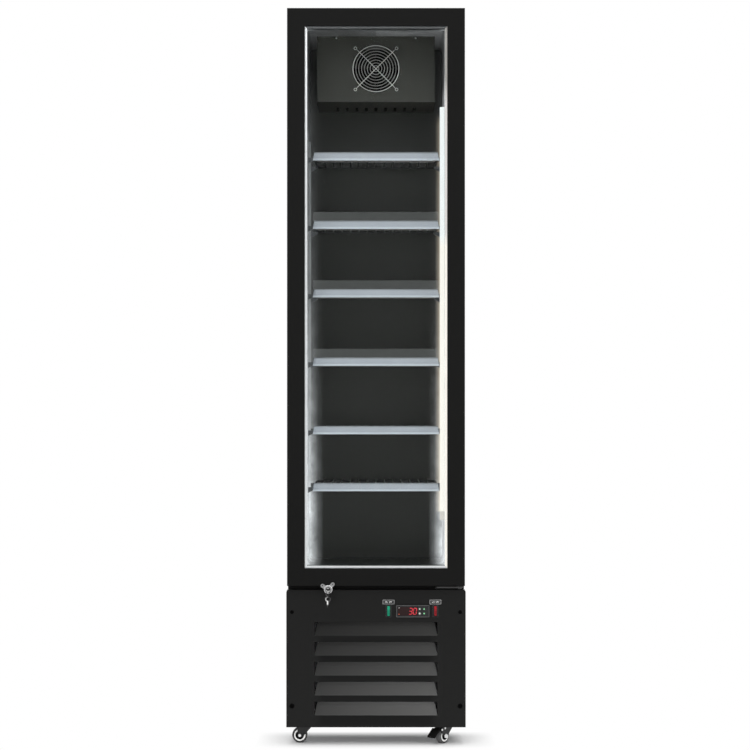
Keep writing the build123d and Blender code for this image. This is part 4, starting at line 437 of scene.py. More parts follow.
def louvre_coat(name, upper, lower):
    """Satin black paint on the blades, with painted light: lighter towards the panel's foot and right side,
    and lighter at each blade's upper edge, where the panel's lip would shade it.
    """
    finish = Finish(name, upper, 0.55, Specular_IOR_Level=0.08)
    share = finish.ramp(panel_drop(finish), (0.24, 0.0), (0.86, 1.0))
    fall = (PANEL_HIGH.z - LOUVRE_HEAD - finish.axis("Z")) / LOUVRE_PITCH
    painted_light_down_blade = ((0.0, 0.95), (0.10, 0.80), (0.20, 0.60), (0.30, 0.49), (0.60, 0.42), (0.68, 0.46))
    painted_blade_light = finish.ramp(fall.math("FRACT", fall), *painted_light_down_blade)
    side = finish.axis("X") * 2.7 + 1.0
    tone = finish.blend(share, times(upper, 2), times(lower, 2))
    finish.tint(painted_blade_light * side, BLACK, tone)
    finish.feed("Roughness", finish.grain(6.0, 2.0) * 0.10 + 0.50)
    finish.bump(finish.grain(700.0, 2.0), 0.10, 0.0004)
    return finish.material


def plated_steel(name, colour, roughness, streak=0.25):
    """Zinc or nickel plate with faint drawn streaks and cloudy patches."""
    finish = Finish(name, colour, roughness, Metallic=1.0)
    cloud = finish.grain(70.0, 4.0)
    lines = finish.grain(40.0, 3.0, 0.6, (1, 1, 30))
    finish.tint(cloud * 0.7 + lines * streak, times(colour, 0.72), colour)
    finish.feed("Roughness", cloud * 0.18 + (roughness - 0.08))
    finish.bump(lines, 0.05, 0.0003)
    return finish.material


def polished(name, colour, roughness):
    """Bright chrome with a trace of handling haze."""
    finish = Finish(name, colour, roughness, Metallic=1.0)
    haze = finish.grain(45.0, 4.0)
    finish.feed("Roughness", haze * 0.12 + roughness)
    finish.tint(haze, times(colour, 0.88), colour)
    return finish.material


def moulded(name, colour, roughness, texture=1400.0, **constants):
    """Moulded plastic or rubber with a fine spark texture."""
    finish = Finish(name, colour, roughness, **constants)
    cloud = finish.grain(25.0, 3.0)
    finish.feed("Roughness", cloud * 0.12 + (roughness - 0.06))
    finish.tint(cloud, times(colour, 0.86), colour)
    finish.bump(finish.grain(texture, 2.0), 0.08, 0.0003)
    return finish.material


def clear_sheet(name, tint, edge):
    """Clear sheet: see-through face on, with reflections that grow towards the edge of sight."""
    finish = Finish(name, (0.95, 0.96, 0.96), 0.04, Metallic=1.0)
    see_through = finish.add("ShaderNodeBsdfTransparent", None, {"Color": (*tint, 1)})
    shine = Value(finish, finish.shader.outputs[0])
    rim = finish.add("ShaderNodeLayerWeight", None, {"Blend": edge}, output="Fresnel")
    pane = finish.add("ShaderNodeMixShader", None, {0: rim, 1: see_through, 2: shine})
    finish.tree.links.new(pane.socket, finish.output.inputs["Surface"])
    return finish.material


def glowing(name, colour, strength):
    """A lit part: a display segment, a pilot dot or a button's mark."""
    finish = Finish(name, times(colour, 0.2), 0.4, Emission_Strength=strength)
    finish.shine(finish.grain(30.0, 2.0), times(colour, 0.92), colour)
    return finish.material


def lamp_tone(finish, warm, cool):
    """The colour of the lamp's light: warm along the lower tube and cool along the upper one."""
    rise = finish.along("Z", LENS_LOW.z, LENS_HIGH.z)
    return finish.blend(finish.ramp(rise, (TUBE_JOINT - 0.03, 0.0), (TUBE_JOINT, 1.0)), warm, cool)


def lamp_side(name, warm, cool):
    """Aluminium beside the lamp, with the lamp's light painted on as emission, less above the lamp's upper
    end.
    """
    finish = Finish(name, times(warm, 0.3), 0.4, Emission_Strength=1.0)
    over_lamp = (finish.axis("Z") - LENS_HIGH.z) / HALO_H
    painted_lamp_glow = finish.ramp(over_lamp, (0.0, 1.0), (1.0, 0.25)) * (finish.grain(30.0, 2.0) * 0.2 + 0.9)
    finish.shine(painted_lamp_glow, BLACK, lamp_tone(finish, warm, cool))
    return finish.material


def lamp_diffuser(name, warm, cool, strength):
    """The lamp's milky diffuser, lit along its tubes and duller at the end cap below them."""
    finish = Finish(name, times(warm, 0.2), 0.4, Emission_Strength=strength)
    lit = finish.ramp((finish.axis("Z") - LENS_LOW.z) / LAMP_CAP_H, (0.80, 0.60), (1.0, 1.0))
    even = finish.grain(30.0, 2.0) * 0.08 + 0.94
    finish.shine(lit * even, BLACK, lamp_tone(finish, warm, cool))
    return finish.material


def painted_reflection_plate(finish, share):
    """Polished plate whose colour carries a painted reflection: dark for a dark room and, in the given
    share, bright for lamps.
    """
    finish.tint(share, (0.010, 0.010, 0.010), (0.92, 0.92, 0.91))
    finish.feed("Roughness", finish.grain(45.0, 4.0) * 0.14 + 0.12)
    return finish.material


def plug_plate(name):
    """The lock's plug, with painted reflections: bright low down and at its upper rim, dark across its
    keyway.
    """
    finish = Finish(name, (0.3, 0.3, 0.3), 0.2, Metallic=1.0)
    rise = finish.along("Z", LOCK_Z - PLUG_R, LOCK_Z + PLUG_R)
    share = finish.ramp(rise, (0.0, 0.8), (0.24, 0.85), (0.36, 0.04), (0.80, 0.03), (0.97, 0.40))
    return painted_reflection_plate(finish, share)


def key_plate(name):
    """The hanging key, with painted reflections: bright where its blade faces the lamps, dim at its bow,
    ring and tip.
    """
    low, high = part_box("spare_key")
    finish = Finish(name, (0.3, 0.3, 0.3), 0.2, Metallic=1.0)
    across = finish.along("X", LOCK_X - KEY_HALF, LOCK_X + KEY_HALF)
    rise = finish.along("Z", low.z, high.z)
    left = finish.ramp(across, (0.0, 0.5), (0.10, 1.0), (0.50, 0.90), (0.62, 0.10), (1.0, 0.06))
    band = finish.ramp(rise, (0.14, 0.04), (0.24, 1.0), (0.58, 1.0), (0.68, 0.12), (1.0, 0.22))
    return painted_reflection_plate(finish, left * band)


def rocker(name, colour, node):
    """A switch rocker: dark flanks, a coloured lens along the middle that is brighter at its upper end."""
    low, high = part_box(node)
    middle = (low + high) / 2
    finish = Finish(name, colour, 0.35, Specular_IOR_Level=0.15)
    off_middle = (finish.axis("X") - middle.x).size() / ((high.x - low.x) / 2)
    lens = finish.ramp(off_middle, (0.48, 1.0), (0.72, 0.0))
    rise = finish.along("Z", low.z, high.z)
    tone = finish.blend(finish.ramp(rise, (0.45, 0.0), (0.90, 1.0)), times(colour, 0.62), colour)
    finish.tint(lens, (0.008, 0.008, 0.008), tone)
    finish.feed("Roughness", finish.grain(60.0, 3.0) * 0.12 + 0.28)
    return finish.material


paint = {
    "body": powder_coat("black_powder_coat", (0.0047, 0.0047, 0.0045), 0.52, Specular_IOR_Level=0.06),
    # Base panel: black powder paint with painted shade between the louvres and painted light towards its
    # foot.
    "panel": panel_coat("black_panel_coat", (0.0060, 0.0060, 0.0059), (0.0084, 0.0084, 0.0082)),
    # Louvre blades: satin black paint with painted light on it.
    "blade": louvre_coat("louvre_coat", (0.0165, 0.0165, 0.016), (0.064, 0.064, 0.063)),
    # Liner, shelf standards and the door opening's reveal: frosted colour with painted light emitted over
    # it, the reveal at four times the strength.
    "liner": frost_and_painted_light_coat("charcoal_liner_paint", (0.013, 0.0135, 0.012), 0.36),
    "zinc_frost_and_painted_light": frost_and_painted_light_coat("zinc_frost_and_painted_light", (0.17, 0.175, 0.18), 0.40),
    "edge_frost_and_painted_light": frost_and_painted_light_coat("edge_frost_and_painted_light", (0.10, 0.105, 0.11), 0.45, 4.0),
    "cover": powder_coat("charcoal_cover_paint", (0.022, 0.022, 0.0185), 0.45, Specular_IOR_Level=0.3),
    "foam": moulded("foam", (0.75, 0.66, 0.42), 0.8),
    "zinc": plated_steel("zinc_plate", (0.62, 0.63, 0.64), 0.38),
    "dull_zinc": plated_steel("dull_zinc", (0.40, 0.41, 0.42), 0.45),
    "clip": moulded("clip_plastic", (0.085, 0.09, 0.095), 0.45),
    # Shelf wires: an epoxy coat darkened with painted shade, for the shadow the wires sit in.
    "wires": powder_coat("epoxy_wire_painted_shade", (0.014, 0.014, 0.015), 0.38, Specular_IOR_Level=0.3),
    "truss": powder_coat("truss_wire", (0.10, 0.095, 0.09), 0.38, Specular_IOR_Level=0.3),
    "strip": moulded("strip_plastic", (0.36, 0.385, 0.43), 0.35, 600.0),
    # Strip bead and lip: the strip's plastic darkened by painted shade at the bead and lightened by a
    # painted highlight at the lip.
    "strip_bead_painted_shade": moulded("strip_bead_painted_shade", (0.19, 0.20, 0.22), 0.35, 600.0),
    "strip_lip_painted_highlight": moulded("strip_lip_painted_highlight", (0.47, 0.50, 0.55), 0.30, 600.0),
    "insert": moulded("strip_insert", (0.33, 0.35, 0.39), 0.55, 300.0),
    "fence": clear_sheet("clear_fence", (0.98, 0.98, 0.98), 0.44),
    "fence_edge": moulded("fence_edge", (0.55, 0.55, 0.56), 0.3),
    "glass": clear_sheet("door_glass", (0.985, 0.992, 0.99), 0.06),
    "dim_spacer": plated_steel("spacer_in_shade", (0.16, 0.165, 0.17), 0.42),
    # Spacer by the lamp: aluminium with the lamp's light painted on.
    "lit_spacer": lamp_side("spacer_painted_lamp_light", (0.72, 0.685, 0.63), (0.48, 0.465, 0.465)),
    "spacer": plated_steel("spacer_aluminium", (0.92, 0.93, 0.94), 0.30),
    # Almost black for the evaporator's coil, motor and blade, and painted shade on the wheels' recessed webs
    # and hubs.
    "void": moulded("almost_black_and_painted_shade", (0.0016, 0.0016, 0.0017), 0.6, Specular_IOR_Level=0.05),
    # Lock plug and hanging key: colours that carry painted reflections.
    "plug": plug_plate("lock_plug"),
    "spare": key_plate("spare_key_plate"),
    "seal": moulded("seal_rubber", (0.012, 0.012, 0.012), 0.6),
    "chrome": polished("chrome", (0.80, 0.80, 0.81), 0.14),
    # Darker copies of the chrome: painted dark reflections on the lock's ears and on the flat ring round its
    # plug.
    "ear": polished("lock_ear_painted_dark_reflection", (0.34, 0.34, 0.34), 0.25),
    "dim_chrome": polished("lock_face_painted_dark_reflection", (0.30, 0.30, 0.30), 0.22),
    # Fan guard: spokes and outer ring in a lighter copy of the plate, a painted highlight.
    "bright_guard": plated_steel("guard_spokes_painted_highlight", (0.95, 0.95, 0.94), 0.30),
    "guard": plated_steel("guard_plate", (0.50, 0.50, 0.49), 0.36),
    "leaf": plated_steel("hinge_plate", (0.075, 0.075, 0.075), 0.40),
    "lamp_body": plated_steel("lamp_aluminium", (0.80, 0.81, 0.82), 0.35),
    "lamp": lamp_diffuser("lamp_diffuser", (1.0, 0.955, 0.885), (0.88, 0.93, 0.95), 0.84),
    "fins": plated_steel("coil_fins", (0.62, 0.64, 0.66), 0.42, 0.4),
    "copper": plated_steel("copper_tube", (0.72, 0.36, 0.20), 0.32),
    "motor": powder_coat("motor_enamel", (0.012, 0.012, 0.013), 0.30, Specular_IOR_Level=0.5),
    "dark_plastic": moulded("dark_plastic", (0.010, 0.010, 0.011), 0.42, Specular_IOR_Level=0.3),
    "display": moulded("display_window", (0.022, 0.012, 0.012), 0.20, Specular_IOR_Level=0.06),
    # Display rim: a pale grey that stands in for the bezel's edge highlight.
    "rim": moulded("display_rim_painted_highlight", (0.085, 0.085, 0.085), 0.40, Specular_IOR_Level=0.3),
    "green": rocker("green_rocker", (0.004, 0.235, 0.13), "light_switch_rocker"),
    "red": rocker("red_rocker", (0.24, 0.007, 0.012), "power_switch_rocker"),
    "digits": glowing("display_red", (0.62, 0.02, 0.035), 1.0),
    "mark_green": glowing("mark_green", (0.22, 0.62, 0.30), 1.0),
    "mark_pale": glowing("mark_pale", (0.40, 0.45, 0.40), 1.0),
    "mark_white": moulded("mark_white", (0.78, 0.78, 0.77), 0.5),
    "plate_edge": moulded("plate_edge", (0.34, 0.34, 0.34), 0.5),
    "dot_red": glowing("pilot_red", (0.9, 0.16, 0.06), 0.7),
    "tyre": moulded("tyre_rubber", (0.016, 0.016, 0.016), 0.6, 900.0),
    "wheel": moulded("wheel_core", (0.84, 0.84, 0.83), 0.35),
    "tread": moulded("tread_rubber", (0.085, 0.085, 0.085), 0.6, 900.0),
    "axle_end": moulded("axle_end", (0.80, 0.80, 0.80), 0.35),
    "caster": powder_coat("caster_enamel", (0.009, 0.009, 0.009), 0.40, Specular_IOR_Level=0.35),
    "screw": moulded("black_screw", (0.0011, 0.0011, 0.0011), 0.6, Specular_IOR_Level=0.03),
}

node_paint = {
    "cabinet_shell": "body", "door_frame": "body", "front_panel": "panel", "rear_grille": "body",
    "insulation_foam": "foam", "inner_liner": "liner", "evaporator_cover": "cover",
    "shelf_standards": "zinc_frost_and_painted_light", "shelf_clips": "clip", "lamp_base": "lamp_body", "lamp_lens": "lamp",
    "evaporator_coil": "void", "condenser_coil": "fins", "evaporator_fan_motor": "void",
    "condenser_fan_motor": "motor", "compressor": "motor", "refrigerant_lines": "copper",
    "evaporator_fan_blade": "void", "condenser_fan_blade": "dark_plastic", "fan_guard": "guard",
    "base_chassis": "dull_zinc", "condenser_fan_shroud": "dull_zinc", "cord_gland": "seal",
    "controller_housing": "dark_plastic", "switch_housings": "dark_plastic", "top_hinge_bracket": "caster",
    "bottom_hinge_bracket": "leaf", "caster_plates": "dull_zinc", "cabinet_screws": "screw",
    "door_inner_frame": "dark_plastic", "door_glass": "glass", "glass_spacer": "spacer",
    "door_gasket": "seal", "lock_body": "chrome", "lock_cylinder": "plug", "spare_key": "spare",
    "brake_pedal": "body", "light_switch_rocker": "green", "power_switch_rocker": "red",
    "button_set": "dark_plastic", "button_up": "dark_plastic", "button_defrost": "dark_plastic",
    "button_down": "dark_plastic",
}
for caster in CASTERS:
    node_paint[f"caster_fork_{caster}"] = "caster"
    node_paint[f"caster_wheel_{caster}"] = "tyre"
for number in SHELVES:
    node_paint[f"shelf_{number}"] = "wires"
for number in FENCED:
    node_paint[f"shelf_fence_{number}"] = "fence"
for node, coat in node_paint.items():
    nodes[node].data.materials.clear()
    nodes[node].data.materials.append(paint[coat])


def repaint(node, coat, test):
    """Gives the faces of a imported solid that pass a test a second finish."""
    mesh = nodes[node].data
    mesh.materials.append(paint[coat])
    for face in mesh.polygons:
        if test(face):
            face.material_index = len(mesh.materials) - 1


def by_the_lamp(face):
    """The spacer's run on the lamp's side, up to the lamp's upper end."""
    return face.center.x > BAY_HALF - SPACER_SIDE_BAND and face.center.z < LENS_HIGH.z


def on_reveal(face):
    """The sides and the upper edge of the opening in the door's inner frame."""
    side = abs(face.normal.x) > 0.9 and abs(face.center.x) < BAY_HALF + REVEAL_SIDE
    return side or (face.normal.z < -0.9 and face.center.z > LINER_HIGH.z - REVEAL_TOP)


def on_spoke(face):
    """The crossed spokes of the fan guard and its outermost ring."""
    right = abs(face.center.x - FAN_MIDDLE.x)
    up = abs(face.center.z - FAN_MIDDLE.z)
    return abs(right - up) < SPOKE_HALF or math.hypot(right, up) > GUARD_RING_R - GUARD_WIRE_R


def from_plug(face):
    """How far a face lies from the axis of the lock's plug."""
    return math.hypot(face.center.x - LOCK_X, face.center.z - LOCK_Z)


def on_bezel(face):
    """The flat ring of the lock's barrel around its plug."""
    flat = face.normal.y < -0.99 and face.center.y < LOCK_LOW.y + LOCK_FACE_T
    return flat and from_plug(face) < BEZEL_R


repaint("glass_spacer", "dim_spacer", lambda face: face.center.z > SPACER_HIGH.z - SPACER_TOP_BAND)
# Painted lamp light on the spacer's run by the lamp.
repaint("glass_spacer", "lit_spacer", by_the_lamp)
# The louvre blades take the paint with painted light on it.
repaint("front_panel", "blade", lambda face: face.normal.z > 0.08 and face.normal.y < -0.5)
# Painted light: the door opening's reveal takes the frosted coat, emitting at four times the strength to
# carry the ceiling's painted brightness on.
repaint("door_inner_frame", "edge_frost_and_painted_light", on_reveal)
# Painted highlight on the fan guard's spokes and outer ring.
repaint("fan_guard", "bright_guard", on_spoke)
# Painted dark reflections on the lock's flat bezel ring and on its ears.
repaint("lock_body", "dim_chrome", on_bezel)
repaint("lock_body", "ear", lambda face: from_plug(face) > EAR_R)
for number in FENCED:
    repaint(f"shelf_fence_{number}", "fence_edge", lambda face: abs(face.normal.y) < 0.5)


def leave_edit():
    bpy.ops.object.mode_set(mode="OBJECT")


def start():
    """Leaves edit mode and deselects everything, so that the next operator touches only what it makes."""
    if bpy.context.object and bpy.context.object.mode != "OBJECT":
        leave_edit()
    bpy.ops.object.select_all(action="DESELECT")


def activate(piece):
    """Makes a piece the active one and the only selected one."""
    start()
    piece.select_set(True)
    bpy.context.view_layer.objects.active = piece


def settle():
    """Puts the active piece's place, turn and scale into its mesh."""
    bpy.ops.object.transform_apply(location=True, rotation=True, scale=True)
    return bpy.context.object


def cylinder(sides, radius, depth, centre=(0, 0, 0), turn=(0, 0, 0)):
    """A plain cylinder to start a piece from."""
    start()
    bpy.ops.mesh.primitive_cylinder_add(
        vertices=sides, radius=radius, depth=depth, location=centre, rotation=turn
    )
    return settle()


def block(size, centre):
    """A plain block to start a piece from."""
    start()
    bpy.ops.mesh.primitive_cube_add(size=1, location=centre)
    bpy.context.object.scale = size
    return settle()


def sheet(width, height, centre=(0, 0, 0), turn=UPRIGHT):
    """A plain sheet to start a piece from, which faces the front unless it is turned."""
    start()
    bpy.ops.mesh.primitive_plane_add(size=1, location=centre, rotation=turn)
    bpy.context.object.scale = (width, height, 1)
    return settle()


def deselect(kind):
    """Deselects a mesh and sets whether its faces or its edges are selected next."""
    bpy.ops.object.mode_set(mode="EDIT")
    bpy.ops.mesh.select_mode(type=kind)
    bpy.ops.mesh.select_all(action="DESELECT")
    leave_edit()


def select_faces(piece, test):
    """Selects the faces that pass a test, in edit mode."""
    deselect("FACE")
    for face in piece.data.polygons:
        face.select = test(face)
    bpy.ops.object.mode_set(mode="EDIT")


def select_edges(piece, test):
    """Selects the edges whose two ends pass a test, in edit mode."""
    deselect("EDGE")
    points = piece.data.vertices
    for edge in piece.data.edges:
        edge.select = test(*(points[end].co for end in edge.vertices))
    bpy.ops.object.mode_set(mode="EDIT")


def faces_front(face):
    return face.normal.y < -0.9


def bevel_faces(piece, test, offset, segments=2):
    """Bevels the edges around the faces that pass a test."""
    select_faces(piece, test)
    bpy.ops.mesh.bevel(offset=offset, segments=segments)
    leave_edit()
    return piece


def round_corners(corner, segments):
    """Rounds the corners of the active sheet and selects all of it, in edit mode."""
    bpy.ops.object.mode_set(mode="EDIT")
    bpy.ops.mesh.select_all(action="SELECT")
    bpy.ops.mesh.bevel(offset=corner, segments=segments, affect="VERTICES")
    bpy.ops.mesh.select_all(action="SELECT")


def extrude(*shift):
    bpy.ops.mesh.extrude_region_move(TRANSFORM_OT_translate={"value": shift})


def face_outwards():
    """Turns all faces of the active mesh outwards and leaves edit mode."""
    bpy.ops.mesh.select_all(action="SELECT")
    bpy.ops.mesh.normals_make_consistent(inside=False)
    leave_edit()


def apply_all(piece):
    bpy.context.view_layer.objects.active = piece
    for modifier in list(piece.modifiers):
        bpy.ops.object.modifier_apply(modifier=modifier.name)


def thicken(piece, thickness, edge_width=0.0):
    """Gives a sheet a wall on both sides of it and, where a width is given, soft edges."""
    wall = piece.modifiers.new("wall", "SOLIDIFY")
    wall.thickness = thickness
    wall.offset = 0
    if edge_width:
        edge = piece.modifiers.new("edge", "BEVEL")
        edge.width = edge_width
        edge.segments = 2
    apply_all(piece)
    return piece


def cut_out(piece, *cutters):
    """Cuts the shapes of other pieces out of a piece."""
    for cutter in cutters:
        cut = piece.modifiers.new("cut", "BOOLEAN")
        cut.operation = "DIFFERENCE"
        cut.object = cutter
    activate(piece)
    apply_all(piece)


def remove(*pieces):
    """Deletes pieces that only served as patterns or cutters."""
    for piece in pieces:
        bpy.data.objects.remove(piece)


def join(pieces, name):
    start()
    for piece in pieces:
        piece.select_set(True)
    bpy.context.view_layer.objects.active = pieces[0]
    if len(pieces) > 1:
        bpy.ops.object.join()
    whole = bpy.context.object
    whole.name = name
    whole.data.name = name
    return whole


def copy_of(piece, shift, name, turn=(0, 0, 0)):
    """A copy with its own mesh, turned about the origin and then moved into place."""
    activate(piece)
    bpy.ops.object.duplicate(linked=False)
    twin = bpy.context.object
    twin.rotation_euler = turn
    twin.location = shift
    settle()
    twin.name = name
    twin.data.name = name
    return twin


def dress(piece, coat, body, smooth=40):
    """Gives a finished piece its finish and the body it moves with."""
    activate(piece)
    bpy.ops.object.shade_smooth_by_angle(angle=math.radians(smooth))
    piece.data.materials.clear()
    piece.data.materials.append(paint[coat])
    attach(piece, body)
    return piece


def paint_faces(piece, coats, pick):
    """Adds finishes to a dressed piece and gives each face the one whose place in the list pick gives."""
    for coat in coats:
        piece.data.materials.append(paint[coat])
    for face in piece.data.polygons:
        face.material_index = int(pick(face))


def rod(radius, tail, tip, sides=12):
    """A straight wire with rounded ends between two points."""
    run = Vector(tip) - Vector(tail)
    middle = (Vector(tail) + Vector(tip)) / 2
    piece = cylinder(sides, radius, run.length, middle, run.to_track_quat("Z", "Y").to_euler())
    return bevel_faces(piece, lambda face: len(face.vertices) == sides, radius * 0.6)


def rod_loop(radius, low, high, corner):
    """A rod bent into a rectangle with round corners, level or upright: its two corners share Z or Y."""
    size = high - low
    if size.z > 0:
        sheet(size.x, size.z, (low + high) / 2)
    else:
        sheet(size.x, size.y, (low + high) / 2, (0, 0, 0))
    round_corners(corner, 5)
    bpy.ops.mesh.delete(type="ONLY_FACE")
    leave_edit()
    bpy.ops.object.convert(target="CURVE")
    loop = bpy.context.object
    loop.data.bevel_depth = radius
    loop.data.bevel_resolution = 3
    bpy.ops.object.convert(target="MESH")
    return bpy.context.object


def make_shelf(low, high):
    """A welded wire shelf: rod frame, middle cross rod and deck wires, made for the topmost shelf."""
    front = low.y + STRIP_T + FRAME_WIRE_R
    back = high.y - FRAME_WIRE_R
    side = high.x - FRAME_WIRE_R
    deck = high.z - STRIP_RISE - DECK_WIRE_R
    level = deck - DECK_WIRE_R - FRAME_WIRE_R + WELD_BITE
    loop = rod_loop(FRAME_WIRE_R, Vector((-side, front, level)), Vector((side, back, level)), FRAME_CORNER_R)
    middle = (front + back) / 2
    cross = rod(FRAME_WIRE_R, (-side, middle, level), (side, middle, level))
    pitch = 2 * side / (DECK_WIRES + 1)
    left = pitch - side
    wire = rod(DECK_WIRE_R, (left, front - FRAME_WIRE_R, deck), (left, back + FRAME_WIRE_R, deck))
    spread = wire.modifiers.new("spread", "ARRAY")
    spread.use_relative_offset = False
    spread.use_constant_offset = True
    spread.constant_offset_displace = (pitch, 0, 0)
    spread.count = DECK_WIRES
    apply_all(wire)
    return join([loop, cross, wire], "shelf_wires")


def make_strip(low, high):
    """A price strip: a channel with a top bead and a deeper bottom lip that holds the insert."""
    foot = high.z - STRIP_H
    strip = sheet(high.x - low.x, STRIP_H, (0, low.y + STRIP_T - STRIP_WALL, high.z - STRIP_H / 2))
    select_edges(strip, lambda a, b: min(a.z, b.z) > high.z - NEAR)
    extrude(0, -BEAD_REACH, 0)
    extrude(0, 0, -BEAD_FALL)
    select_edges(strip, lambda a, b: max(a.z, b.z) < foot + NEAR)
    extrude(0, -LIP_REACH, LIP_SLOPE)
    extrude(0, -LIP_LEAN, LIP_RISE)
    leave_edit()
    for point in strip.data.vertices:
        rise = (point.co.z - foot) / STRIP_H
        point.co.x -= math.copysign(STRIP_SLANT * rise, point.co.x)
    return thicken(strip, STRIP_WALL, SOFT_EDGE)


def make_insert(low, high):
    """The plain card behind the strip's lips."""
    centre = (0, low.y + INSERT_SETBACK, high.z - STRIP_H / 2 + INSERT_RISE)
    card = sheet(high.x - low.x - 4 * STRIP_SLANT, STRIP_H - INSERT_GAP, centre)
    round_corners(INSERT_CORNER_R, 3)
    leave_edit()
    return thicken(card, INSERT_T)


def make_truss(low, high):
    """The rod loop that stiffens the front of a shelf from below."""
    side = high.x - 4 * FRAME_WIRE_R
    setback = low.y + STRIP_T + TRUSS_SETBACK
    foot = Vector((-side, setback, high.z - STRIP_H))
    head = Vector((side, setback, high.z - STRIP_RISE - 2 * DECK_WIRE_R - TRUSS_R))
    return rod_loop(TRUSS_R, foot, head, TRUSS_CORNER_R)


def paint_strip(strip, top):
    """Gives a price strip its bead darkened by painted shade and its lip lightened by a painted highlight.
    """

    def band(face):
        if face.center.z > top - STRIP_BEAD_H:
            return 1
        return 2 if face.center.z < top - STRIP_H + STRIP_LIP_H else 0

    paint_faces(strip, ("strip_bead_painted_shade", "strip_lip_painted_highlight"), band)


top_low, top_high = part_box("shelf_1")
shelf_patterns = {
    "wires": make_shelf(top_low, top_high),
    "strip": make_strip(top_low, top_high),
    "insert": make_insert(top_low, top_high),
    "truss": make_truss(top_low, top_high),
}
for number in SHELVES:
    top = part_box(f"shelf_{number}")[1].z
    for part, pattern in shelf_patterns.items():
        piece = copy_of(pattern, (0, 0, top - top_high.z), f"shelf_{number}_{part}")
        dress(piece, part, f"shelf_{number}_set")
        if part == "wires":
            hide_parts(f"shelf_{number}")
        elif part == "strip":
            paint_strip(piece, top)
remove(*shelf_patterns.values())


def make_wheel():
    """One caster wheel that turns about Y: tyre, pale rim, dished web and a bored hub."""
    wheel = cylinder(56, WHEEL_R, WHEEL_W, turn=UPRIGHT)
    side = WHEEL_W / 2 - NEAR
    select_edges(wheel, lambda a, b: min(a.y, b.y) > side or max(a.y, b.y) < -side)
    bpy.ops.mesh.bevel(offset=TYRE_ROUND, segments=4)
    select_faces(wheel, lambda face: len(face.vertices) > 8)
    steps = (
        (WHEEL_R - TYRE_ROUND - RIM_OUT, 0.0),
        (RIM_GROOVE, -RIM_GROOVE),
        (RIM_GROOVE, RIM_GROOVE),
        (RIM_OUT - 2 * RIM_GROOVE - RIM_IN, 0.0),
        (WEB_DRAFT, -WEB_DISH),
        (RIM_IN - WEB_DRAFT - HUB_R, 0.0),
        (HUB_DRAFT, WEB_DISH),
        (HUB_R - HUB_DRAFT - AXLE_BORE_R, 0.0),
    )
    for inwards, outwards in steps:
        bpy.ops.mesh.inset(thickness=inwards, depth=outwards)
    bpy.ops.mesh.bridge_edge_loops()
    face_outwards()
    return wheel


def make_rivet(radius, height):
    """A rivet head with a rounded crown, facing the front, seated at the origin."""
    rivet = cylinder(28, radius, height, (0, -height / 2, 0), UPRIGHT)
    return bevel_faces(rivet, faces_front, 0.7 * height, 4)


def make_leg(side):
    """One tapered leg of a fork, from the crown down to a rounded eye about the axle."""
    middle = (FORK_FRONT - FORK_BACK) / 2
    band_foot = FORK_TOP - FORK_BAND
    centre = (middle, side * (FORK_HALF_W - FORK_LEG_T / 2), FORK_TOP - FORK_BAND / 2)
    leg = sheet(FORK_FRONT + FORK_BACK, FORK_BAND, centre)
    select_edges(leg, lambda a, b: max(a.z, b.z) < band_foot + NEAR)
    extrude(0, 0, -band_foot - FORK_EYE_R)
    leave_edit()
    for point in leg.data.vertices:
        if point.co.z < 0:
            point.co.x = math.copysign(FORK_EYE_R, point.co.x - middle)
    select_edges(leg, lambda a, b: max(a.z, b.z) < 0)
    bpy.ops.mesh.bevel(offset=0.8 * FORK_EYE_R, segments=6, affect="VERTICES")
    leave_edit()
    return thicken(leg, FORK_LEG_T, SOFT_EDGE)


def make_fork():
    """One caster fork about its axle at the origin, ahead of its kingpin along X: crown, legs and axle."""
    level = FORK_TOP - FORK_CROWN_T / 2
    king = (-CASTER_TRAIL, 0, level)
    crown_size = (FORK_FRONT + FORK_BACK, 2 * FORK_HALF_W, FORK_CROWN_T)
    crown = block(crown_size, ((FORK_FRONT - FORK_BACK) / 2, 0, level))
    bevel_faces(crown, lambda face: face.normal.z > 0.9, FORK_CROWN_EDGE)
    race = cylinder(40, FORK_RACE_R, FORK_CROWN_T, king)
    bevel_faces(race, lambda face: abs(face.normal.z) > 0.9, FORK_CROWN_EDGE)
    bore = cylinder(32, KING_BORE_R, 3 * FORK_CROWN_T, king)
    cut_out(crown, bore)
    cut_out(race, bore)
    pin = rod(AXLE_R, (0, -FORK_HALF_W, 0), (0, FORK_HALF_W, 0), 24)
    rivet = make_rivet(FORK_HEAD_R, RIVET_T)
    heads = [
        copy_of(rivet, (0, side * FORK_HALF_W, 0), "axle_head", (0, 0, turn))
        for side, turn in ((-1, 0), (1, math.pi))
    ]
    remove(bore, rivet)
    return join([crown, race, make_leg(-1), make_leg(1), pin, *heads], "caster_fork")


pattern_wheel = make_wheel()
pattern_fork = make_fork()
pattern_rivet = make_rivet(RIVET_R, RIVET_T)


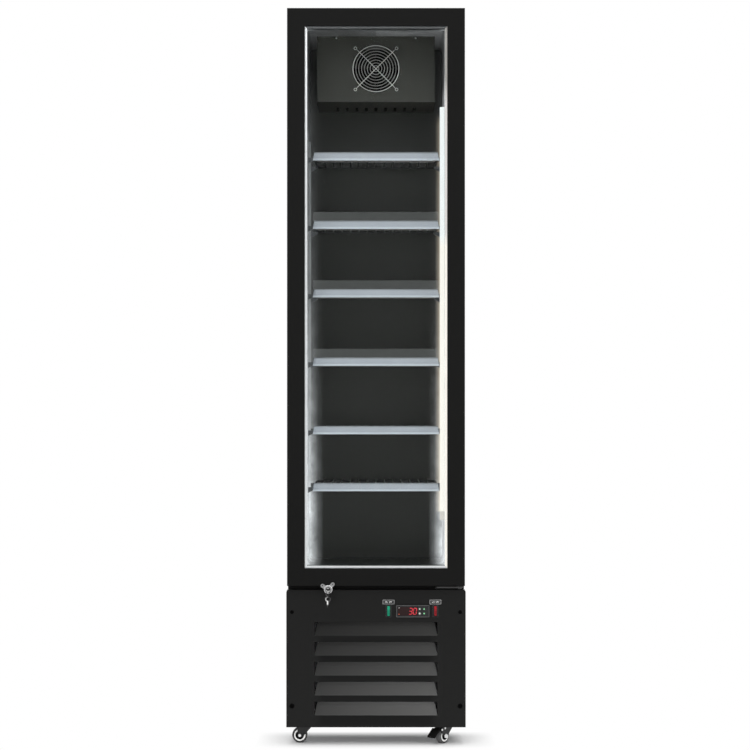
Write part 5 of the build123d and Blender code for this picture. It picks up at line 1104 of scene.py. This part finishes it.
def dress_caster(caster, heading):
    """Puts a caster's turned wheel in place, and its pressed fork or, on the braked one, two rivets."""
    low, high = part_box(f"caster_wheel_{caster}")
    hub = (low + high) / 2
    turn = math.radians(heading)
    ahead = Vector((math.cos(turn), math.sin(turn), 0))
    axle = Vector((-math.sin(turn), math.cos(turn), 0))

    def off_axle(face):
        """How far a face lies from the axle, and how far along the axle from its middle."""
        along = (face.center - hub).dot(axle)
        return (face.center - hub - axle * along).length, abs(along)

    def wheel_coat(face):
        out, along = off_axle(face)
        if out > WHEEL_R - TREAD_T:
            return 3
        # Painted shade: the dished web and hub inside the rim take the almost-black finish.
        if out < RIM_IN:
            return 2
        return 1 if out < RIM_OUT and along > WHEEL_W / 4 else 0

    def on_axle(face):
        out, along = off_axle(face)
        return out < AXLE_HEAD_R and along > FORK_HALF_W

    wheel = copy_of(pattern_wheel, hub, f"caster_wheel_{caster}_turned", (0, 0, turn))
    dress(wheel, "tyre", f"wheel_{caster}", 30)
    paint_faces(wheel, ("wheel", "void", "tread"), wheel_coat)
    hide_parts(f"caster_wheel_{caster}")
    if caster == BRAKED:
        repaint(f"caster_fork_{caster}", "axle_end", on_axle)
        seats = [hub + ahead * reach + axle * FORK_HALF_W + Vector((0, 0, up)) for reach, up in RIVET_SPOTS]
        rivets = [copy_of(pattern_rivet, seat, "fork_rivet", (0, 0, turn - math.pi)) for seat in seats]
        dress(join(rivets, "fork_rivets"), "axle_end", f"fork_{caster}", 30)
        return
    fork = copy_of(pattern_fork, hub, f"caster_fork_{caster}_pressed", (0, 0, turn))
    dress(fork, "caster", f"fork_{caster}", 30)
    paint_faces(fork, ("axle_end",), on_axle)
    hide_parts(f"caster_fork_{caster}")


for caster, heading in CASTERS.items():
    dress_caster(caster, heading)
remove(pattern_wheel, pattern_fork, pattern_rivet)


def make_screw(radius, height):
    """A pan head with a cross recess, facing the front, seated at the origin."""
    screw = cylinder(28, radius, height, (0, -height / 2, 0), UPRIGHT)
    select_edges(screw, lambda a, b: max(a.y, b.y) < -0.9 * height)
    bpy.ops.mesh.bevel(offset=0.75 * height, segments=5)
    leave_edit()
    arms = [
        block((width * radius, height, tall * radius), (0, -height, 0))
        for width, tall in ((CROSS_ARM, CROSS_SLOT), (CROSS_SLOT, CROSS_ARM))
    ]
    cut_out(screw, *arms)
    remove(*arms)
    return screw


def make_bolt(radius, height):
    """A hexagon head that hangs down from the origin, chamfered at its lower face."""
    bolt = cylinder(6, radius, height, (0, 0, -height / 2))
    return bevel_faces(bolt, lambda face: face.normal.z < -0.9, 0.25 * height)


def put_at(*patterns_and_spots):
    """Copies of each pattern at each of its spots."""
    return [copy_of(pattern, spot, "head") for pattern, spots in patterns_and_spots for spot in spots]


big_screw = make_screw(PANEL_HEAD_R, PANEL_HEAD_T)
upper_screw = make_screw(UPPER_HEAD_R, PANEL_HEAD_T)
eye_screw = make_screw(EYE_HEAD_R, EYE_HEAD_T)
small_screw = make_screw(SMALL_HEAD_R, SMALL_HEAD_T)
flat_screw = copy_of(small_screw, (0, 0, 0), "flat_screw", FACE_UP)
hex_bolt = make_bolt(SMALL_HEAD_R, SMALL_HEAD_T)
panel_x = PANEL_HIGH.x - PANEL_SCREW_EDGE
foot_spots = [(side * panel_x, PANEL_LOW.y, PANEL_LOW.z + PANEL_SCREW_FOOT) for side in SIDES]
upper_spots = [(side * panel_x, PANEL_LOW.y, PANEL_HIGH.z - PANEL_SCREW_TOP) for side in SIDES]
cover_x = COVER_HIGH.x - COVER_SCREW_EDGE
cover_spots = [(side * cover_x, COVER_LOW.y, COVER_HIGH.z - COVER_SCREW_DROP) for side in SIDES]
guard_spots = [
    (right * FAN_SCREWS / 2, COVER_LOW.y - GUARD_EYE_SEAT, FAN_MIDDLE.z + up * FAN_SCREWS / 2)
    for right in SIDES
    for up in SIDES
]
roof_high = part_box("top_hinge_bracket")[1]
roof_x = roof_high.x + DOOR_EDGE - HINGE_LEAF_W / 2
roof_y = LINER_LOW.y + HINGE_SEAT_D / 2
roof_spots = [
    (roof_x + right * HINGE_LEAF_W / 4, roof_y + back * HINGE_SEAT_D / 4, roof_high.z)
    for right in SIDES
    for back in SIDES
]
leaf_low, leaf_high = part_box("bottom_hinge_bracket")
leaf_x = (leaf_low.x + leaf_high.x) / 2
leaf_level = (leaf_low.z + PANEL_HIGH.z) / 2
leaf_spots = [(leaf_x + right * HINGE_LEAF_W / 4, LINER_LOW.y - HINGE_LEAF_T, leaf_level) for right in SIDES]
plates_low, plates_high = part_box("caster_plates")
plate_x = plates_high.x - PLATE_W / 2
bolt_level = plates_high.z - PLATE_T
bolt_spots = [
    (across * plate_x + right * PLATE_BOLT_X / 2, along + back * PLATE_BOLT_Y / 2, bolt_level)
    for across in SIDES
    for along in (plates_low.y + PLATE_D / 2, plates_high.y - PLATE_D / 2)
    for right in SIDES
    for back in SIDES
]
black_heads = put_at((big_screw, foot_spots), (upper_screw, upper_spots), (eye_screw, guard_spots))
bright_heads = put_at((eye_screw, cover_spots), (small_screw, leaf_spots))
bright_heads += put_at((flat_screw, roof_spots), (hex_bolt, bolt_spots))
panel_screws = dress(join(black_heads, "panel_screws"), "screw", "cabinet", 30)
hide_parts("cabinet_screws")
dress(join(bright_heads, "plated_screws"), "zinc", "cabinet", 30)
remove(big_screw, upper_screw, eye_screw, small_screw, flat_screw, hex_bolt)


def make_plate(name, middle, size, front, back, corner):
    """A thin upright plate with rounded corners and a softened front edge."""
    plate = sheet(*size, (middle[0], back, middle[1]))
    round_corners(corner, 4)
    extrude(0, front - back, 0)
    face_outwards()
    soft = min(corner, back - front)
    select_faces(plate, faces_front)
    bpy.ops.mesh.inset(thickness=soft * 0.4, depth=soft * 0.2)
    leave_edit()
    plate.name = name
    return plate


def make_lettering(name, words, centre):
    """Raised generic lettering that faces the front."""
    start()
    bpy.ops.object.text_add(rotation=UPRIGHT)
    writing = bpy.context.object
    writing.data.body = words
    writing.data.size = LETTER_H
    writing.data.align_x = "CENTER"
    writing.data.align_y = "CENTER"
    writing.data.extrude = LETTER_T / 2
    bpy.ops.object.convert(target="MESH")
    bpy.context.object.location = centre
    lettering = settle()
    lettering.name = name
    return lettering


def make_segment():
    """One lit bar of a digit: a flat lozenge along X at the origin."""
    bar = sheet(SEGMENT_L, SEGMENT_W)
    round_corners(SEGMENT_W * 0.49, 1)
    extrude(0, -SEGMENT_T, 0)
    face_outwards()
    return bar


# Display: dark window, raised rim whose pale grey is a painted highlight along the bezel's edge, two slanted
# seven-segment digits and two pilot dots
control_middle = (CONTROL_LOW + CONTROL_HIGH) / 2
recess_y = CONTROL_LOW.y + CONTROL_RECESS
window_y = recess_y - WINDOW_T
window_left = CONTROL_LOW.x + CONTROL_RIM
window_right = control_middle.x + DIGITS_W / 2 + DIGITS_MARGIN
window_middle = ((window_left + window_right) / 2, control_middle.z)
window_size = (window_right - window_left, CONTROL_HIGH.z - CONTROL_LOW.z - 2 * CONTROL_RIM)
window = make_plate("display_window", window_middle, window_size, window_y, recess_y, WINDOW_CORNER_R)
dress(window, "display", "cabinet")
rim_low = CONTROL_LOW + Vector((RIM_R, 0, RIM_R))
rim_high = Vector((CONTROL_HIGH.x - RIM_R, CONTROL_LOW.y, CONTROL_HIGH.z - RIM_R))
rim = rod_loop(RIM_R, rim_low, rim_high, RIM_CORNER_R)
rim.name = "display_rim_painted_highlight"
dress(rim, "rim", "cabinet")

# The bars of a digit: steps across and up from its middle, and whether the bar stands upright
DIGIT_BARS = {
    "top": (0, 1, False),
    "middle": (0, 0, False),
    "bottom": (0, -1, False),
    "upper_left": (-0.5, 0.5, True),
    "lower_left": (-0.5, -0.5, True),
    "upper_right": (0.5, 0.5, True),
    "lower_right": (0.5, -0.5, True),
}
LIT = (
    ("top", "middle", "bottom", "upper_right", "lower_right"),
    ("top", "bottom", "upper_left", "lower_left", "upper_right", "lower_right"),
)
segment = make_segment()
bars = []
for place, lit in enumerate(LIT):
    digit_x = control_middle.x + (place - 0.5) * DIGIT_PITCH
    for bar_name in lit:
        across, up, upright = DIGIT_BARS[bar_name]
        rise = up * SEGMENT_STEP
        lean = rise * math.tan(math.radians(DIGIT_SLANT))
        spot = (digit_x + across * SEGMENT_STEP + lean, window_y, control_middle.z + rise)
        turn = (0, math.radians(90) if upright else 0, 0)
        bars.append(copy_of(segment, spot, f"digit_{place}_{bar_name}", turn))
remove(segment)
dress(join(bars, "display_digits"), "digits", "cabinet")
PILOTS = (
    ("pilot_upper", DOT_UP, "mark_white", "button_plastic"),
    ("pilot_lower", -DOT_DOWN, "dot_red", "rocker_red"),
)
for name, up, coat, slot in PILOTS:
    spot = (CONTROL_LOW.x + DOT_EDGE, window_y, control_middle.z + up)
    dot = bevel_faces(cylinder(20, DOT_R, DOT_T, spot, UPRIGHT), faces_front, DOT_T * 0.4)
    dot.name = name
    dress(dot, coat, "cabinet")

# Raised symbols on the buttons: low prisms with a softened edge, by their sides and turn
BUTTONS = (("set", 4, 45), ("up", 3, 0), ("defrost", 6, 0), ("down", 3, 180))
buttons_middle = sum(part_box(f"button_{name}")[0].x for name, _, _ in BUTTONS) / len(BUTTONS)
for name, sides, turn in BUTTONS:
    low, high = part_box(f"button_{name}")
    spot = ((low.x + high.x) / 2, low.y - MARK_SEAT, (low.z + high.z) / 2)
    mark = cylinder(sides, MARK_R, MARK_T, spot, (math.radians(90), math.radians(turn), 0))
    bevel_faces(mark, faces_front, MARK_EDGE)
    mark.name = f"mark_{name}"
    coat = "mark_pale" if low.x < buttons_middle else "mark_green"
    dress(mark, coat, f"key_{name}")

# Name plates over the two rockers: a bare black field in a pale border, with generic lettering
field_size = (LABEL_W - 2 * LABEL_EDGE, LABEL_H - 2 * LABEL_EDGE)
seat = PANEL_LOW.y
for switch in ("light_switch", "power_switch"):
    low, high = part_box(f"{switch}_rocker")
    middle = ((low.x + high.x) / 2, high.z + LABEL_RISE)
    plate = f"{switch}_plate"
    border = make_plate(
        f"{plate}_border", middle, (LABEL_W, LABEL_H), seat - LABEL_T, seat, LABEL_CORNER_R
    )
    field = make_plate(
        f"{plate}_field", middle, field_size, seat - FIELD_RISE, seat - FIELD_SEAT, FIELD_CORNER_R
    )
    words = make_lettering(f"{plate}_words", "ON  OFF", (middle[0], seat - FIELD_RISE, middle[1]))
    dress(border, "plate_edge", "cabinet")
    dress(field, "dark_plastic", "cabinet")
    dress(words, "mark_white", "cabinet")

# Camera: in front of the door, at the photograph's eye height
lens = bpy.data.cameras.new("camera")
lens.sensor_width = 36.0
lens.lens = lens.sensor_width * SHOT / (PHOTO_W * PIXEL)
lens.shift_y = UP_PIXELS / PHOTO_W
lens.clip_end = 100.0
camera = bpy.data.objects.new("camera", lens)
camera.location = (RIGHT_PIXELS * PIXEL, DOOR_LOW.y - SHOT, EYE)
camera.rotation_euler = UPRIGHT
bpy.context.scene.collection.objects.link(camera)
bpy.context.scene.camera = camera
bpy.context.scene.view_settings.view_transform = "Standard"

# Floor: pale where the front of the part throws its shadow, and white around that
start()
bpy.ops.mesh.primitive_plane_add(size=60)
floor = bpy.context.object
floor.name = "floor"
ground = Finish("pale_floor", (0.86, 0.86, 0.86), 0.9, Specular_IOR_Level=0.1)
from_shadow = (ground.axis("Y") - SHADOW_Y).size()
beside = ground.ramp(ground.axis("X").size(), (0.19, 0.0), (0.30, 1.0))
before = ground.ramp(from_shadow, (0.035, 0.0), (0.058, 0.10), (0.09, 0.52), (0.12, 1.0))
far = beside + before - beside * before
seen, shone, passed = (ground.add("ShaderNodeLightPath", output=ray) for ray in SEEN_RAYS)
white = ground.add("ShaderNodeEmission", None, {"Color": (1, 1, 1, 1), "Strength": 1.0})
shaded = Value(ground, ground.shader.outputs[0])
mixed = ground.add("ShaderNodeMixShader", None, {0: far * (seen + shone + passed), 1: shaded, 2: white})
ground.tree.links.new(mixed.socket, ground.output.inputs["Surface"])
floor.data.materials.append(ground.material)

# World: even studio light, white where the camera or a reflection sees it
world = bpy.data.worlds.new("studio")
world.use_nodes = True
bpy.context.scene.world = world
tree = world.node_tree
sky = tree.nodes["Background"]
bright = tree.nodes.new("ShaderNodeBackground")
for backdrop, strength in ((sky, 0.45), (bright, 1.0)):
    backdrop.inputs["Color"].default_value = (1, 1, 1, 1)
    backdrop.inputs["Strength"].default_value = strength
path = tree.nodes.new("ShaderNodeLightPath")
share = path.outputs[SEEN_RAYS[0]]
for ray in SEEN_RAYS[1:]:
    either = tree.nodes.new("ShaderNodeMath")
    either.operation = "MAXIMUM"
    tree.links.new(share, either.inputs[0])
    tree.links.new(path.outputs[ray], either.inputs[1])
    share = either.outputs[0]
backdrops = tree.nodes.new("ShaderNodeMixShader")
for place, socket in enumerate((share, sky.outputs[0], bright.outputs[0])):
    tree.links.new(socket, backdrops.inputs[place])
tree.links.new(backdrops.outputs[0], tree.nodes["World Output"].inputs["Surface"])


def soft_box(name, place, target, width, height, power):
    """A rectangular studio lamp aimed at a point."""
    light = bpy.data.lights.new(name, "AREA")
    light.shape = "RECTANGLE"
    light.size = width
    light.size_y = height
    light.energy = power
    lamp = bpy.data.objects.new(name, light)
    lamp.location = place
    lamp.rotation_euler = (Vector(target) - Vector(place)).to_track_quat("-Z", "Y").to_euler()
    bpy.context.scene.collection.objects.link(lamp)
    return lamp


soft_box("key", (-1.6, -3.4, 3.4), (0, 0, 0.8), 2.4, 2.4, 66)
soft_box("fill", (2.4, -3.0, 2.0), (0, 0, 0.9), 2.0, 2.4, 30)
low_front = soft_box("low_front", (0, -4.2, 0.55), (0, 0, 0.5), 2.2, 0.8, 80)
low_front.visible_glossy = False
soft_box("top", (0, -0.4, 4.2), (0, 0, 0.5), 2.4, 2.4, 60)
lens_middle = (LENS_LOW + LENS_HIGH) / 2
beside_lens = Vector((LENS_LOW.x - TUBE_OFF, lens_middle.y + TUBE_BACK, lens_middle.z))
tube = soft_box("tube", beside_lens, beside_lens - Vector((1, 0, 0)), TUBE_W, LENS_HIGH.z - LENS_LOW.z, 1.5)
tube.visible_camera = False
tube.visible_glossy = False
